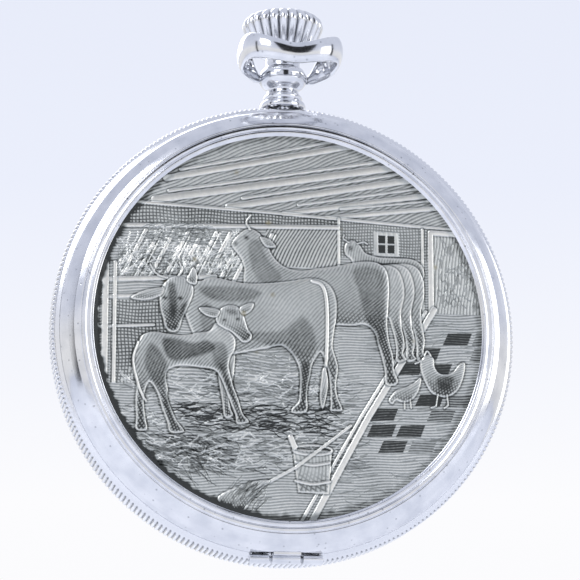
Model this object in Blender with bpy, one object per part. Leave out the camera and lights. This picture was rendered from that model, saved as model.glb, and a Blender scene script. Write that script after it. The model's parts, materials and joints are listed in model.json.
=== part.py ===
"""Open face pocket watch, standing upright with its pendant up.

Lengths are in millimetres until make() turns them into metres. A piece is drawn in case coordinates: X to
the right seen from the back, depth along +Y from the flat back face towards the dial, and Z up from the
middle of the case. make() then moves it so that the part's origin is the lowest point of the case band.
"""

from math import asin, atan2, cos, degrees, hypot, pi, radians, sin, sqrt, tau

import bmesh
import bpy
from mathutils import Matrix, Vector

MM = 0.001

# Case
CASE_RADIUS = 25.0  # coin edge
BAND_BACK = 2.65  # depth where the back cover seats
BAND_MIDDLE = 5.0
BAND_FRONT = 7.35  # depth where the bezel seats
BAND_BORE = 21.6
SEAT = 0.05  # play between pieces that seat on each other
COVER_RADIUS = 24.2
COVER_WALL = 0.6
FIELD_RADIUS = 20.9
LIP_HEIGHT = 0.2
LIP_RADIUS = 22.1
DUST_RADIUS = 22.4
DUST_NEAR = 1.1
DUST_WALL = 0.4
RING_SEGMENTS = 48

# Hinges at the foot of the case
KNUCKLE = 0.5
DUST_KNUCKLE = 0.34
HINGE_HALF = 3.5
MIDDLE_HALF = 1.5
HINGE_PLAY = 0.3
PIN_FIT = 0.05

# Pendant, bow and crown
STEM_RADIUS = 0.6
STEM_SQUARE = 0.45
STEM_FOOT = 17.7
WINDING_FOOT = 17.6
WINDING_TOP = 18.7
PENDANT_BORE = 0.9
PENDANT_TUBE = 1.5
PIVOT_Z = 28.7
PENDANT_TOP = 31.2
BALL_RADIUS = 2.6
BOW_HALF_WIDTH = 5.1  # middle of the strap
BOW_RISE = 5.1  # from the pivots up to the widest place
BOW_HALF_HEIGHT = 4.6
BOW_THICKNESS = 1.0
BOW_ARCH = 1.3  # how far the sides stand out of the bow's plane
BOW_PIN = 0.5
BOW_REST = 90.0  # degrees that the bow is swung from upright to the back
CROWN_RADIUS = 4.43
CROWN_HEIGHT = 4.6
CROWN_FLUTES = 24
CROWN_PLAY = 0.3

# Movement: depths of its levels
WHEEL_NEAR = 2.3  # winding wheels
WINDING_WALL = 0.5
BRIDGE_NEAR = 2.85
BRIDGE_FAR = 3.5
PLATE_NEAR = 5.6
PLATE_FAR = 6.6
PLATE_RADIUS = 21.2
FIT = 0.02  # a wheel's bore round its arbor
PIVOT = 0.2
PIVOT_PLAY = 0.06
WHEEL_WALL = 0.2
CENTRE_WHEEL_NEAR = 3.56
THIRD_WHEEL_NEAR = 4.2
FOURTH_WHEEL_NEAR = 4.7
ESCAPE_WHEEL_NEAR = 5.1
COCK_NEAR = 2.35
COCK_FAR = 2.95
BALANCE_NEAR = 3.6
BALANCE_FAR = 4.0

# Going train: teeth and modules
BARREL_TEETH, CENTRE_LEAVES, BARREL_MODULE = 80, 10, 0.23
CENTRE_TEETH, THIRD_LEAVES, CENTRE_MODULE = 64, 8, 0.20
THIRD_TEETH, FOURTH_LEAVES, THIRD_MODULE = 60, 8, 0.17
FOURTH_TEETH, ESCAPE_LEAVES, FOURTH_MODULE = 60, 6, 0.15
SECONDS_BELOW = 9.6  # seconds arbor below the centre
ESCAPE_TEETH = 15
ESCAPE_RADIUS = 2.8
BALANCE_RADIUS = 5.4
CROWN_WHEEL_TEETH, RATCHET_TEETH, WINDING_MODULE = 30, 39, 0.24
WINDING_LEAVES = 15
WINDING_RADIUS = 2.1
CANNON_LEAVES, MINUTE_TEETH, CANNON_MODULE = 12, 36, 0.20
MINUTE_LEAVES, HOUR_TEETH, HOUR_MODULE = 12, 48, 0.16

# Dial, hands, bezel and crystal
DIAL_NEAR = 7.6
DIAL_WALL = 0.4
DIAL_RADIUS = 20.2
SECONDS_HAND_NEAR = 8.1
HOUR_HAND_NEAR = 8.4
MINUTE_HAND_NEAR = 8.9
HAND_WALL = 0.2
BEZEL_TOP = 9.7
CRYSTAL_RADIUS = 20.7
CRYSTAL_TOP = 11.2
CRYSTAL_WALL = 0.9

SILVER = (0.83, 0.84, 0.86)
STEEL = (0.62, 0.63, 0.66)
GILT = (0.80, 0.62, 0.30)
NICKEL = (0.72, 0.71, 0.68)
BLUED = (0.03, 0.05, 0.20)
ENAMEL = (0.90, 0.90, 0.87)
GLASS = (0.92, 0.95, 0.96)


def clear_scene():
    """Remove every object that the file opened with."""
    for existing in list(bpy.data.objects):
        bpy.data.objects.remove(existing, do_unlink=True)


def finish_for(name, colour, roughness, metallic):
    """The Principled material of one piece."""
    material = bpy.data.materials.new(name + "_finish")
    material.use_nodes = True
    shader = material.node_tree.nodes["Principled BSDF"]
    shader.inputs["Base Color"].default_value = (*colour, 1.0)
    shader.inputs["Roughness"].default_value = roughness
    shader.inputs["Metallic"].default_value = metallic
    return material


def make(name, bm, colour, roughness=0.25, metallic=1.0, pivot=(0, 0, 0), turn=None):
    """Turn a bmesh in case coordinates into an object whose origin is at pivot, in metres."""
    pivot = Vector(pivot)
    bmesh.ops.recalc_face_normals(bm, faces=bm.faces)
    mesh = bpy.data.meshes.new(name)
    bmesh.ops.transform(bm, matrix=Matrix.Scale(MM, 4) @ Matrix.Translation(-pivot), verts=bm.verts)
    bm.to_mesh(mesh)
    bm.free()
    mesh.shade_smooth()
    mesh.set_sharp_from_angle(angle=radians(35))
    piece = bpy.data.objects.new(name, mesh)
    piece.data.materials.append(finish_for(name, colour, roughness, metallic))
    piece.location = (pivot + Vector((0, -BAND_MIDDLE, CASE_RADIUS))) * MM
    if turn:
        piece.rotation_euler = turn
    bpy.context.scene.collection.objects.link(piece)
    return piece


def helper(bm, name):
    """A cutter or a joined shape that isn't a piece of its own."""
    shape = make(name, bm, STEEL)
    shape.hide_render = True
    shape.display_type = "WIRE"
    return shape


def combine(piece, bm, operation):
    """Add a Boolean of piece with a helper shape."""
    modifier = piece.modifiers.new(operation.lower(), "BOOLEAN")
    modifier.operation = operation
    modifier.solver = "EXACT"
    modifier.object = helper(bm, f"{piece.name}_shape_{len(piece.modifiers)}")


# Loops and meshes


def circle(centre, radius, count, phase=0.0):
    """Points (x, z) round a circle."""
    angles = [phase + tau * i / count for i in range(count)]
    return [(centre[0] + radius * cos(a), centre[1] + radius * sin(a)) for a in angles]


def toothed(centre, teeth, pitch_radius, module, phase):
    """Points of a wheel's rim, a tip and a root for each tooth."""
    tip = pitch_radius + 0.7 * module
    root = pitch_radius - 1.2 * module
    return zigzag(centre, teeth, tip, root, phase)


def zigzag(centre, teeth, tip, root, phase):
    """Points that go from tip to root and back, with the first tip at phase."""
    points = []
    for i in range(2 * teeth):
        angle = phase + pi * i / teeth
        radius = root if i % 2 else tip
        points.append((centre[0] + radius * cos(angle), centre[1] + radius * sin(angle)))
    return points


def stack(loops, closed=False):
    """Join loops of equally many (x, y, z) points into one skin, capped unless closed."""
    bm = bmesh.new()
    rings = [[bm.verts.new(point) for point in loop] for loop in loops]
    pairs = list(zip(rings, rings[1:]))
    if closed:
        pairs.append((rings[-1], rings[0]))
    else:
        bm.faces.new(rings[0])
        bm.faces.new(rings[-1])
    for low, high in pairs:
        for i in range(len(low)):
            bm.faces.new((low[i], low[i - 1], high[i - 1], high[i]))
    return bm


def turned(profile, centre=(0.0, 0.0), segments=RING_SEGMENTS, closed=False, phase=0.0):
    """A shape turned about an axis along depth, from (radius, depth) points."""
    loops = [
        [(x, depth, z) for x, z in circle(centre, radius, segments, phase)] for radius, depth in profile
    ]
    return stack(loops, closed)


def turned_up(profile, segments, closed=False):
    """A shape turned about the stem's axis, from (radius, z) points."""
    loops = [
        [(x, BAND_MIDDLE + y, z) for x, y in circle((0, 0), radius, segments)] for radius, z in profile
    ]
    return stack(loops, closed)


def turned_across(profile, depth, z, segments=12, closed=False):
    """A shape turned about an axis along X, from (radius, x) points."""
    loops = [[(x, depth + a, z + b) for a, b in circle((0, 0), radius, segments)] for radius, x in profile]
    return stack(loops, closed)


def box(low, high):
    """A box between two corners."""
    bm = bmesh.new()
    bmesh.ops.create_cube(bm, size=1.0)
    size = Vector(high) - Vector(low)
    bmesh.ops.scale(bm, vec=size, verts=bm.verts)
    bmesh.ops.translate(bm, vec=Vector(low) + size / 2, verts=bm.verts)
    return bm


class Skin:
    """A closed skin put together from rims at fixed depths, walls between rims and flat fills."""

    def __init__(self):
        self.bm = bmesh.new()

    def rim(self, points, depth):
        """Lay an outline at a depth."""
        verts = [self.bm.verts.new((x, depth, z)) for x, z in points]
        edges = [self.bm.edges.new((verts[i - 1], verts[i])) for i in range(len(verts))]
        return verts, edges

    def wall(self, a, b):
        """Join two rims of equally many points."""
        for i in range(len(a[0])):
            self.bm.faces.new((a[0][i - 1], a[0][i], b[0][i], b[0][i - 1]))

    def fill(self, *rims):
        """Fill the flat region between rims."""
        edges = [edge for rim in rims for edge in rim[1]]
        bmesh.ops.triangle_fill(
            self.bm, use_beauty=True, use_dissolve=False, edges=edges, normal=(0, 1, 0)
        )


def plate(outline, near, far, holes=(), bosses=()):
    """A flat piece between two depths.

    holes are outlines cut right through. A boss is (outline, end) or (outline, end, bore): it stands on the
    far face when end is beyond far and on the near face when end is before near, and its bore goes right
    through boss and plate.
    """
    skin = Skin()
    near_rims, far_rims = [], []
    for points in (outline, *holes):
        near_rims.append(skin.rim(points, near))
        far_rims.append(skin.rim(points, far))
        skin.wall(near_rims[-1], far_rims[-1])
    for points, end, *bores in bosses:
        base, rims, back, back_rims = (far, far_rims, near, near_rims)
        if end < near:
            base, rims, back, back_rims = (near, near_rims, far, far_rims)
        foot, top = skin.rim(points, base), skin.rim(points, end)
        rims.append(foot)
        skin.wall(foot, top)
        mouths = []
        for bore in bores:
            mouth, exit_rim = skin.rim(bore, end), skin.rim(bore, back)
            skin.wall(mouth, exit_rim)
            back_rims.append(exit_rim)
            mouths.append(mouth)
        skin.fill(top, *mouths)
    skin.fill(*near_rims)
    skin.fill(*far_rims)
    return skin.bm


def ribbon(path, near, far, thickness):
    """A flat strip on edge along a path of (x, z) points."""
    loops = []
    for i, (x, z) in enumerate(path):
        ahead = path[min(i + 1, len(path) - 1)]
        behind = path[max(i - 1, 0)]
        run = hypot(ahead[0] - behind[0], ahead[1] - behind[1])
        side_x = -(ahead[1] - behind[1]) / run * thickness / 2
        side_z = (ahead[0] - behind[0]) / run * thickness / 2
        loops.append(
            [
                (x - side_x, near, z - side_z),
                (x + side_x, near, z + side_z),
                (x + side_x, far, z + side_z),
                (x - side_x, far, z - side_z),
            ]
        )
    return stack(loops)


def spiral(centre, inner, outer, turns, steps_per_turn, phase=0.0):
    """Points (x, z) of an even spiral."""
    count = int(turns * steps_per_turn)
    points = []
    for i in range(count + 1):
        radius = inner + (outer - inner) * i / count
        angle = phase + tau * turns * i / count
        points.append((centre[0] + radius * cos(angle), centre[1] + radius * sin(angle)))
    return points


def arbor(centre, leaves, sections, phase=0.0):
    """A pinion and its arbor: sections are (near, far, radius) or (near, far, tip, root), by depth."""
    loops = []
    for near, far, tip, *root in sections:
        for depth in (near, far):
            points = zigzag(centre, leaves, tip, root[0] if root else tip, phase)
            loops.append([(x, depth, z) for x, z in points])
    return stack(loops)


def meshed_phase(centre_a, teeth_a, phase_a, centre_b, teeth_b):
    """The phase that puts wheel b's teeth in mesh with wheel a's."""
    line = atan2(centre_b[1] - centre_a[1], centre_b[0] - centre_a[0])
    fraction = (line - phase_a) / (tau / teeth_a)
    return line + pi - (0.5 - fraction) * tau / teeth_b


def beside(centre_a, reach_a, centre_b, reach_b, side):
    """The point at reach_a from a and reach_b from b, on the given side of the line from a to b."""
    dx, dz = centre_b[0] - centre_a[0], centre_b[1] - centre_a[1]
    apart = hypot(dx, dz)
    along = (reach_a**2 - reach_b**2 + apart**2) / (2 * apart)
    across = side * sqrt(reach_a**2 - along**2)
    return (
        centre_a[0] + (dx * along - dz * across) / apart,
        centre_a[1] + (dz * along + dx * across) / apart,
    )


def out_from(centre, angle, reach):
    """The point at a distance from centre, at an angle in degrees from +X towards +Z."""
    return (centre[0] + reach * cos(radians(angle)), centre[1] + reach * sin(radians(angle)))


# Places that follow from the train
CENTRE = (0.0, 0.0)
FOURTH = (0.0, -SECONDS_BELOW)
CENTRE_REACH = CENTRE_MODULE * (CENTRE_TEETH + THIRD_LEAVES) / 2
THIRD_REACH = THIRD_MODULE * (THIRD_TEETH + FOURTH_LEAVES) / 2
THIRD = beside(CENTRE, CENTRE_REACH, FOURTH, THIRD_REACH, 1)
ESCAPE = out_from(FOURTH, 204.6, FOURTH_MODULE * (FOURTH_TEETH + ESCAPE_LEAVES) / 2)
BARREL = out_from(CENTRE, 122.8, BARREL_MODULE * (BARREL_TEETH + CENTRE_LEAVES) / 2)
BALANCE = out_from(ESCAPE, 145.0, ESCAPE_RADIUS + 4.28)
PALLET = out_from(ESCAPE, 145.0, ESCAPE_RADIUS + 0.75)
RATCHET_RADIUS = WINDING_MODULE * RATCHET_TEETH / 2
CROWN_WHEEL_RADIUS = WINDING_MODULE * CROWN_WHEEL_TEETH / 2
CROWN_WHEEL_X = 0.6
WINDING_REACH = RATCHET_RADIUS + CROWN_WHEEL_RADIUS
CROWN_WHEEL = (CROWN_WHEEL_X, BARREL[1] + sqrt(WINDING_REACH**2 - (CROWN_WHEEL_X - BARREL[0]) ** 2))
MINUTE_WHEEL = out_from(CENTRE, 20.0, CANNON_MODULE * (CANNON_LEAVES + MINUTE_TEETH) / 2)

# Phases of the wheels
CENTRE_PHASE = 0.0
THIRD_PHASE = meshed_phase(CENTRE, CENTRE_TEETH, CENTRE_PHASE, THIRD, THIRD_LEAVES)
FOURTH_PHASE = meshed_phase(THIRD, THIRD_TEETH, THIRD_PHASE, FOURTH, FOURTH_LEAVES)
ESCAPE_PHASE = meshed_phase(FOURTH, FOURTH_TEETH, FOURTH_PHASE, ESCAPE, ESCAPE_LEAVES)
BARREL_PHASE = meshed_phase(CENTRE, CENTRE_LEAVES, CENTRE_PHASE, BARREL, BARREL_TEETH)
RATCHET_PHASE = meshed_phase(CROWN_WHEEL, CROWN_WHEEL_TEETH, 0.0, BARREL, RATCHET_TEETH)
MINUTE_PHASE = meshed_phase(CENTRE, CANNON_LEAVES, 0.0, MINUTE_WHEEL, MINUTE_TEETH)
HOUR_PHASE = meshed_phase(MINUTE_WHEEL, MINUTE_LEAVES, MINUTE_PHASE, CENTRE, HOUR_TEETH)


def leaf_radii(leaves, module):
    """Tip and root radius of a pinion."""
    pitch = leaves * module / 2
    return pitch + 0.7 * module, pitch - 1.2 * module


# Case


def knuckles(owner, radius, depth, z, spans):
    """Join hinge tubes to owner, each between two x values."""
    bore = radius * 0.45 + PIN_FIT
    for low, high in spans:
        profile = [(radius, low), (radius, high), (bore, high), (bore, low)]
        combine(owner, turned_across(profile, depth, z, closed=True), "UNION")


def hinge_pin(name, radius, depth, z):
    """The pin of a hinge, as long as its knuckles less their play."""
    reach = HINGE_HALF - HINGE_PLAY
    profile = [(radius * 0.45, -reach), (radius * 0.45, reach)]
    return make(name, turned_across(profile, depth, z), STEEL, pivot=(0, depth, z))


BACK_HINGE_Z = -(COVER_RADIUS + 0.3)
BACK_HINGE_DEPTH = BAND_BACK - SEAT / 2
DUST_HINGE_Z = -(DUST_RADIUS + 0.35)
OUTER_SPANS = [(-HINGE_HALF - 0.4, -MIDDLE_HALF - HINGE_PLAY), (MIDDLE_HALF + HINGE_PLAY, HINGE_HALF + 0.4)]
MIDDLE_SPAN = [(-MIDDLE_HALF, MIDDLE_HALF)]


def case_band():
    """The coin-edged middle of the case, with the ledge that the movement sits against."""
    ledge = PLATE_FAR + SEAT
    profile = [
        (BAND_BORE, BAND_BACK),
        (COVER_RADIUS - 0.2, BAND_BACK),
        (CASE_RADIUS - 0.35, BAND_BACK + 0.25),
        (CASE_RADIUS, BAND_BACK + 0.7),
        (CASE_RADIUS, BAND_FRONT - 0.7),
        (CASE_RADIUS - 0.35, BAND_FRONT - 0.25),
        (COVER_RADIUS - 0.2, BAND_FRONT),
        (BAND_BORE, BAND_FRONT),
        (BAND_BORE, ledge + 0.35),
        (BAND_BORE - 1.1, ledge + 0.35),
        (BAND_BORE - 1.1, ledge),
        (BAND_BORE, ledge),
    ]
    band = make("case_band", turned(profile, closed=True), SILVER, 0.12)
    hole = turned_up([(PENDANT_TUBE + SEAT, 19.0), (PENDANT_TUBE + SEAT, 27.0)], 24)
    combine(band, hole, "DIFFERENCE")
    for radius, depth, z in (
        (KNUCKLE, BACK_HINGE_DEPTH, BACK_HINGE_Z),
        (DUST_KNUCKLE, BACK_HINGE_DEPTH, DUST_HINGE_Z),
    ):
        reach = radius + 0.12
        low_z = z - reach if radius == DUST_KNUCKLE else z - 2.0
        pocket = box((-HINGE_HALF, 1.0, low_z), (HINGE_HALF, depth + reach, z + reach))
        combine(band, pocket, "DIFFERENCE")
        knuckles(band, radius, depth, z, OUTER_SPANS)


def back_cover():
    """The flat back in its raised band, with the broad rim that seats on the case band."""
    edge = BAND_BACK - SEAT
    profile = [
        (FIELD_RADIUS, 0.0),
        (FIELD_RADIUS + 0.2, -LIP_HEIGHT),
        (LIP_RADIUS - 0.1, -LIP_HEIGHT),
        (LIP_RADIUS, 0.05),
        (LIP_RADIUS + 0.7, 0.3),
        (LIP_RADIUS + 1.4, 0.9),
        (COVER_RADIUS - 0.1, 1.7),
        (COVER_RADIUS, edge - 0.3),
        (COVER_RADIUS, edge),
        (COVER_RADIUS - 0.7, edge),
        (COVER_RADIUS - 0.7, edge - 0.4),
        (LIP_RADIUS + 0.2, 0.75),
        (LIP_RADIUS - 0.3, COVER_WALL),
    ]
    pivot = (0, BACK_HINGE_DEPTH, BACK_HINGE_Z)
    cover = make("back_cover", turned(profile), SILVER, 0.15, pivot=pivot)
    reach = KNUCKLE + 0.12
    half = HINGE_HALF + 0.6
    notch = box((-half, edge - 1.0, BACK_HINGE_Z - 2.0), (half, edge + 1.0, BACK_HINGE_Z + reach))
    combine(cover, notch, "DIFFERENCE")
    leaf = box(
        (-MIDDLE_HALF, edge - 1.2, BACK_HINGE_Z + 0.28),
        (MIDDLE_HALF, BACK_HINGE_DEPTH - 0.1, BACK_HINGE_Z + 0.9),
    )
    combine(cover, leaf, "UNION")
    knuckles(cover, KNUCKLE, BACK_HINGE_DEPTH, BACK_HINGE_Z, MIDDLE_SPAN)


def dust_cover():
    """The inner cover over the movement."""
    edge = BAND_BACK - SEAT
    far = DUST_NEAR + DUST_WALL
    profile = [
        (DUST_RADIUS - 1.4, DUST_NEAR),
        (DUST_RADIUS, DUST_NEAR + 1.1),
        (DUST_RADIUS, edge),
        (DUST_RADIUS - 0.45, edge),
        (DUST_RADIUS - 0.45, DUST_NEAR + 1.2),
        (DUST_RADIUS - 1.6, far),
    ]
    pivot = (0, BACK_HINGE_DEPTH, DUST_HINGE_Z)
    cover = make("dust_cover", turned(profile, segments=40), SILVER, 0.2, pivot=pivot)
    reach = DUST_KNUCKLE + 0.12
    half = HINGE_HALF + 0.6
    notch = box((-half, edge - 0.6, DUST_HINGE_Z - 2.0), (half, edge + 1.0, DUST_HINGE_Z + reach))
    combine(cover, notch, "DIFFERENCE")
    leaf = box(
        (-MIDDLE_HALF, edge - 0.8, DUST_HINGE_Z + 0.18),
        (MIDDLE_HALF, BACK_HINGE_DEPTH - 0.1, DUST_HINGE_Z + 0.75),
    )
    combine(cover, leaf, "UNION")
    knuckles(cover, DUST_KNUCKLE, BACK_HINGE_DEPTH, DUST_HINGE_Z, MIDDLE_SPAN)


def bezel():
    """The ring that snaps on the front and holds the crystal."""
    edge = BAND_FRONT + SEAT
    groove = CRYSTAL_RADIUS + SEAT
    profile = [
        (COVER_RADIUS - 0.3, edge),
        (COVER_RADIUS, edge + 0.3),
        (COVER_RADIUS - 0.5, edge + 1.1),
        (COVER_RADIUS - 1.6, BEZEL_TOP - 0.3),
        (COVER_RADIUS - 2.6, BEZEL_TOP),
        (groove, BEZEL_TOP - 0.15),
        (groove, BEZEL_TOP - 1.05),
        (DIAL_RADIUS, BEZEL_TOP - 1.05),
        (DIAL_RADIUS, BEZEL_TOP - 1.4),
        (BAND_BORE, edge + 0.4),
        (BAND_BORE + 0.2, edge),
    ]
    make("bezel", turned(profile, closed=True), SILVER, 0.12)


def crystal():
    """The domed crystal in the bezel's groove: both its faces are parts of an ellipsoid."""
    edge = BEZEL_TOP - 1.0
    shares = [0.12, 0.35, 0.6, 0.8, 0.93, 1.0]
    inner = CRYSTAL_RADIUS - 0.9
    low, high = edge + 0.65, edge + 0.9
    under = [(inner * r, low + (CRYSTAL_TOP - CRYSTAL_WALL - low) * sqrt(1 - r * r)) for r in shares]
    over = [(CRYSTAL_RADIUS * r, high + (CRYSTAL_TOP - high) * sqrt(1 - r * r)) for r in shares]
    profile = under + [(CRYSTAL_RADIUS - 0.7, edge), (CRYSTAL_RADIUS, edge)] + over[::-1]
    make("crystal", turned(profile, segments=36), GLASS, 0.03, 0.0)


# Pendant, bow and crown


def pendant():
    """The beaded neck and ball that carry the bow and guide the stem."""
    foot = CASE_RADIUS + SEAT
    beads = [
        (2.3, 0.0),
        (2.48, 0.45),
        (2.3, 0.9),
        (1.95, 1.0),
        (2.12, 1.33),
        (1.9, 1.65),
        (1.74, 1.9),
        (1.74, 2.3),
    ]
    ball = [(2.3, -0.9), (BALL_RADIUS, -0.3), (BALL_RADIUS, 0.3), (2.3, 0.9), (1.9, 1.25)]
    profile = [(PENDANT_TUBE, 22.2), (PENDANT_TUBE, foot)]
    profile += [(radius, foot + rise) for radius, rise in beads]
    profile += [(radius, PIVOT_Z + rise) for radius, rise in ball]
    profile += [(1.9, PENDANT_TOP), (PENDANT_BORE, PENDANT_TOP), (PENDANT_BORE, 22.2)]
    head = make("pendant", turned_up(profile, 24, closed=True), SILVER, 0.12)
    radius = BOW_PIN + PIN_FIT
    for side in (-1, 1):
        ends = sorted((side * 1.1, side * (BALL_RADIUS + 1)))
        hole = turned_across([(radius, x) for x in ends], BAND_MIDDLE, PIVOT_Z, 12)
        combine(head, hole, "DIFFERENCE")


def bow_path():
    """Stations along the bow: across, up from the pivots, out of plane, half thickness, half width."""
    reach = BALL_RADIUS + 0.25
    left = [(-1.3, 0.0, 0.0, BOW_PIN, BOW_PIN), (-reach, 0.0, 0.0, BOW_PIN, BOW_PIN)]
    left.append((-reach - 0.35, 0.4, 0.1, 0.5, 0.7))
    steps = 16
    oval = []
    for i in range(steps + 1):
        angle = radians(-46 + 272 * i / steps)
        squared = 0.7
        across = -BOW_HALF_WIDTH * abs(cos(angle)) ** squared * (1 if cos(angle) > 0 else -1)
        up = BOW_HALF_HEIGHT * abs(sin(angle)) ** squared * (1 if sin(angle) > 0 else -1)
        side = abs(cos(angle))
        oval.append((across, BOW_RISE + up, BOW_ARCH * side, BOW_THICKNESS / 2, 1.15 + 0.35 * side))
    right = [(-across, *rest) for across, *rest in reversed(left)]
    return left + oval + right


def bow():
    """The bow: a strap that runs over the crown and ends in a pin each side of the pendant's ball."""
    path = bow_path()
    loops = []
    for i, (x, up, out, half, width) in enumerate(path):
        ahead = path[min(i + 1, len(path) - 1)]
        behind = path[max(i - 1, 0)]
        run = hypot(ahead[0] - behind[0], ahead[1] - behind[1])
        side_x = -(ahead[1] - behind[1]) / run
        side_z = (ahead[0] - behind[0]) / run
        loop = []
        for k in range(12):
            a = half * cos(tau * k / 12)
            b = width * sin(tau * k / 12)
            loop.append((x + side_x * a, BAND_MIDDLE + out + b, PIVOT_Z + up + side_z * a))
        loops.append(loop)
    swung = (radians(BOW_REST), 0, 0)
    make("bow", stack(loops), SILVER, 0.12, pivot=(0, BAND_MIDDLE, PIVOT_Z), turn=swung)


def crown_and_stem():
    """The fluted winding crown, and the stem screwed into it."""
    low = PENDANT_TOP + CROWN_PLAY
    bore = STEM_RADIUS + FIT
    shape = [
        (0.0, 0.62, 0.0),
        (0.1, 0.72, 0.3),
        (0.42, 0.9, 0.4),
        (0.66, 1.0, 0.4),
        (0.85, 0.92, 0.3),
        (0.97, 0.7, 0.15),
    ]
    loops = []
    for radius, z in ((bore, low + 2.0), (bore, low)):
        loops.append([(x, BAND_MIDDLE + y, z) for x, y in circle((0, 0), radius, 2 * CROWN_FLUTES)])
    for rise, share, flute in shape:
        tip = CROWN_RADIUS * share
        points = zigzag((0, 0), CROWN_FLUTES, tip, tip - flute, 0.0)
        loops.append([(x, BAND_MIDDLE + y, low + CROWN_HEIGHT * rise) for x, y in points])
    top = low + CROWN_HEIGHT
    crest = circle((0, 0), CROWN_RADIUS * 0.45, 2 * CROWN_FLUTES)
    loops.append([(x, BAND_MIDDLE + y, top) for x, y in crest])
    pivot = (0, BAND_MIDDLE, low)
    make("crown", stack(loops), SILVER, 0.15, pivot=pivot)
    profile = [
        (STEM_RADIUS, low + 1.9),
        (STEM_RADIUS, 20.4),
        (STEM_SQUARE, 20.3),
        (STEM_SQUARE, STEM_FOOT),
    ]
    make("stem", turned_up(profile, 8), STEEL, 0.3, pivot=pivot)



def winding_pinion():
    """The winding arbor that the stem slides in, with its toothed wheel."""
    bore = STEM_SQUARE + PIN_FIT
    loops = []
    for tip, root, z in (
        (bore, bore, 20.0),
        (1.1, 1.1, 20.0),
        (1.1, 1.1, WINDING_TOP),
        (WINDING_RADIUS, WINDING_RADIUS - 0.35, WINDING_TOP),
        (WINDING_RADIUS, WINDING_RADIUS - 0.35, WINDING_FOOT),
        (bore, bore, WINDING_FOOT),
    ):
        points = zigzag((0, 0), WINDING_LEAVES, tip, root, 0.0)
        loops.append([(x, BAND_MIDDLE + y, z) for x, y in points])
    make("winding_pinion", stack(loops, closed=True), STEEL, pivot=(0, BAND_MIDDLE, WINDING_FOOT))


# Movement


def pivot_hole(centre):
    """The outline of a pivot's hole in a plate."""
    return circle(centre, PIVOT + PIVOT_PLAY, 12)


def crossings(centre, inner, outer, arms, half_arm):
    """Outlines of the openings between a wheel's arms."""
    openings = []
    for arm in range(arms):
        start, end = tau * arm / arms, tau * (arm + 1) / arms
        rim = [asin(half_arm / outer), asin(half_arm / inner)]
        points = [
            (outer, start + rim[0]),
            (outer, start * 2 / 3 + end / 3),
            (outer, start / 3 + end * 2 / 3),
            (outer, end - rim[0]),
            (inner, end - rim[1]),
            (inner, start + rim[1]),
        ]
        openings.append([(centre[0] + r * cos(a), centre[1] + r * sin(a)) for r, a in points])
    return openings


def train_wheel(name, centre, teeth, module, near, leaves, hub, phase):
    """A toothed wheel with crossings, bored to fit its arbor's facets."""
    pitch = teeth * module / 2
    outline = toothed(centre, teeth, pitch, module, phase)
    bore = circle(centre, hub + FIT, 2 * leaves, phase)
    holes = [bore] + crossings(centre, hub + 0.7, pitch - 0.75, 4, 0.25)
    pivot = (centre[0], near, centre[1])
    make(name, plate(outline, near, near + WHEEL_WALL, holes), GILT, pivot=pivot)


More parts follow.
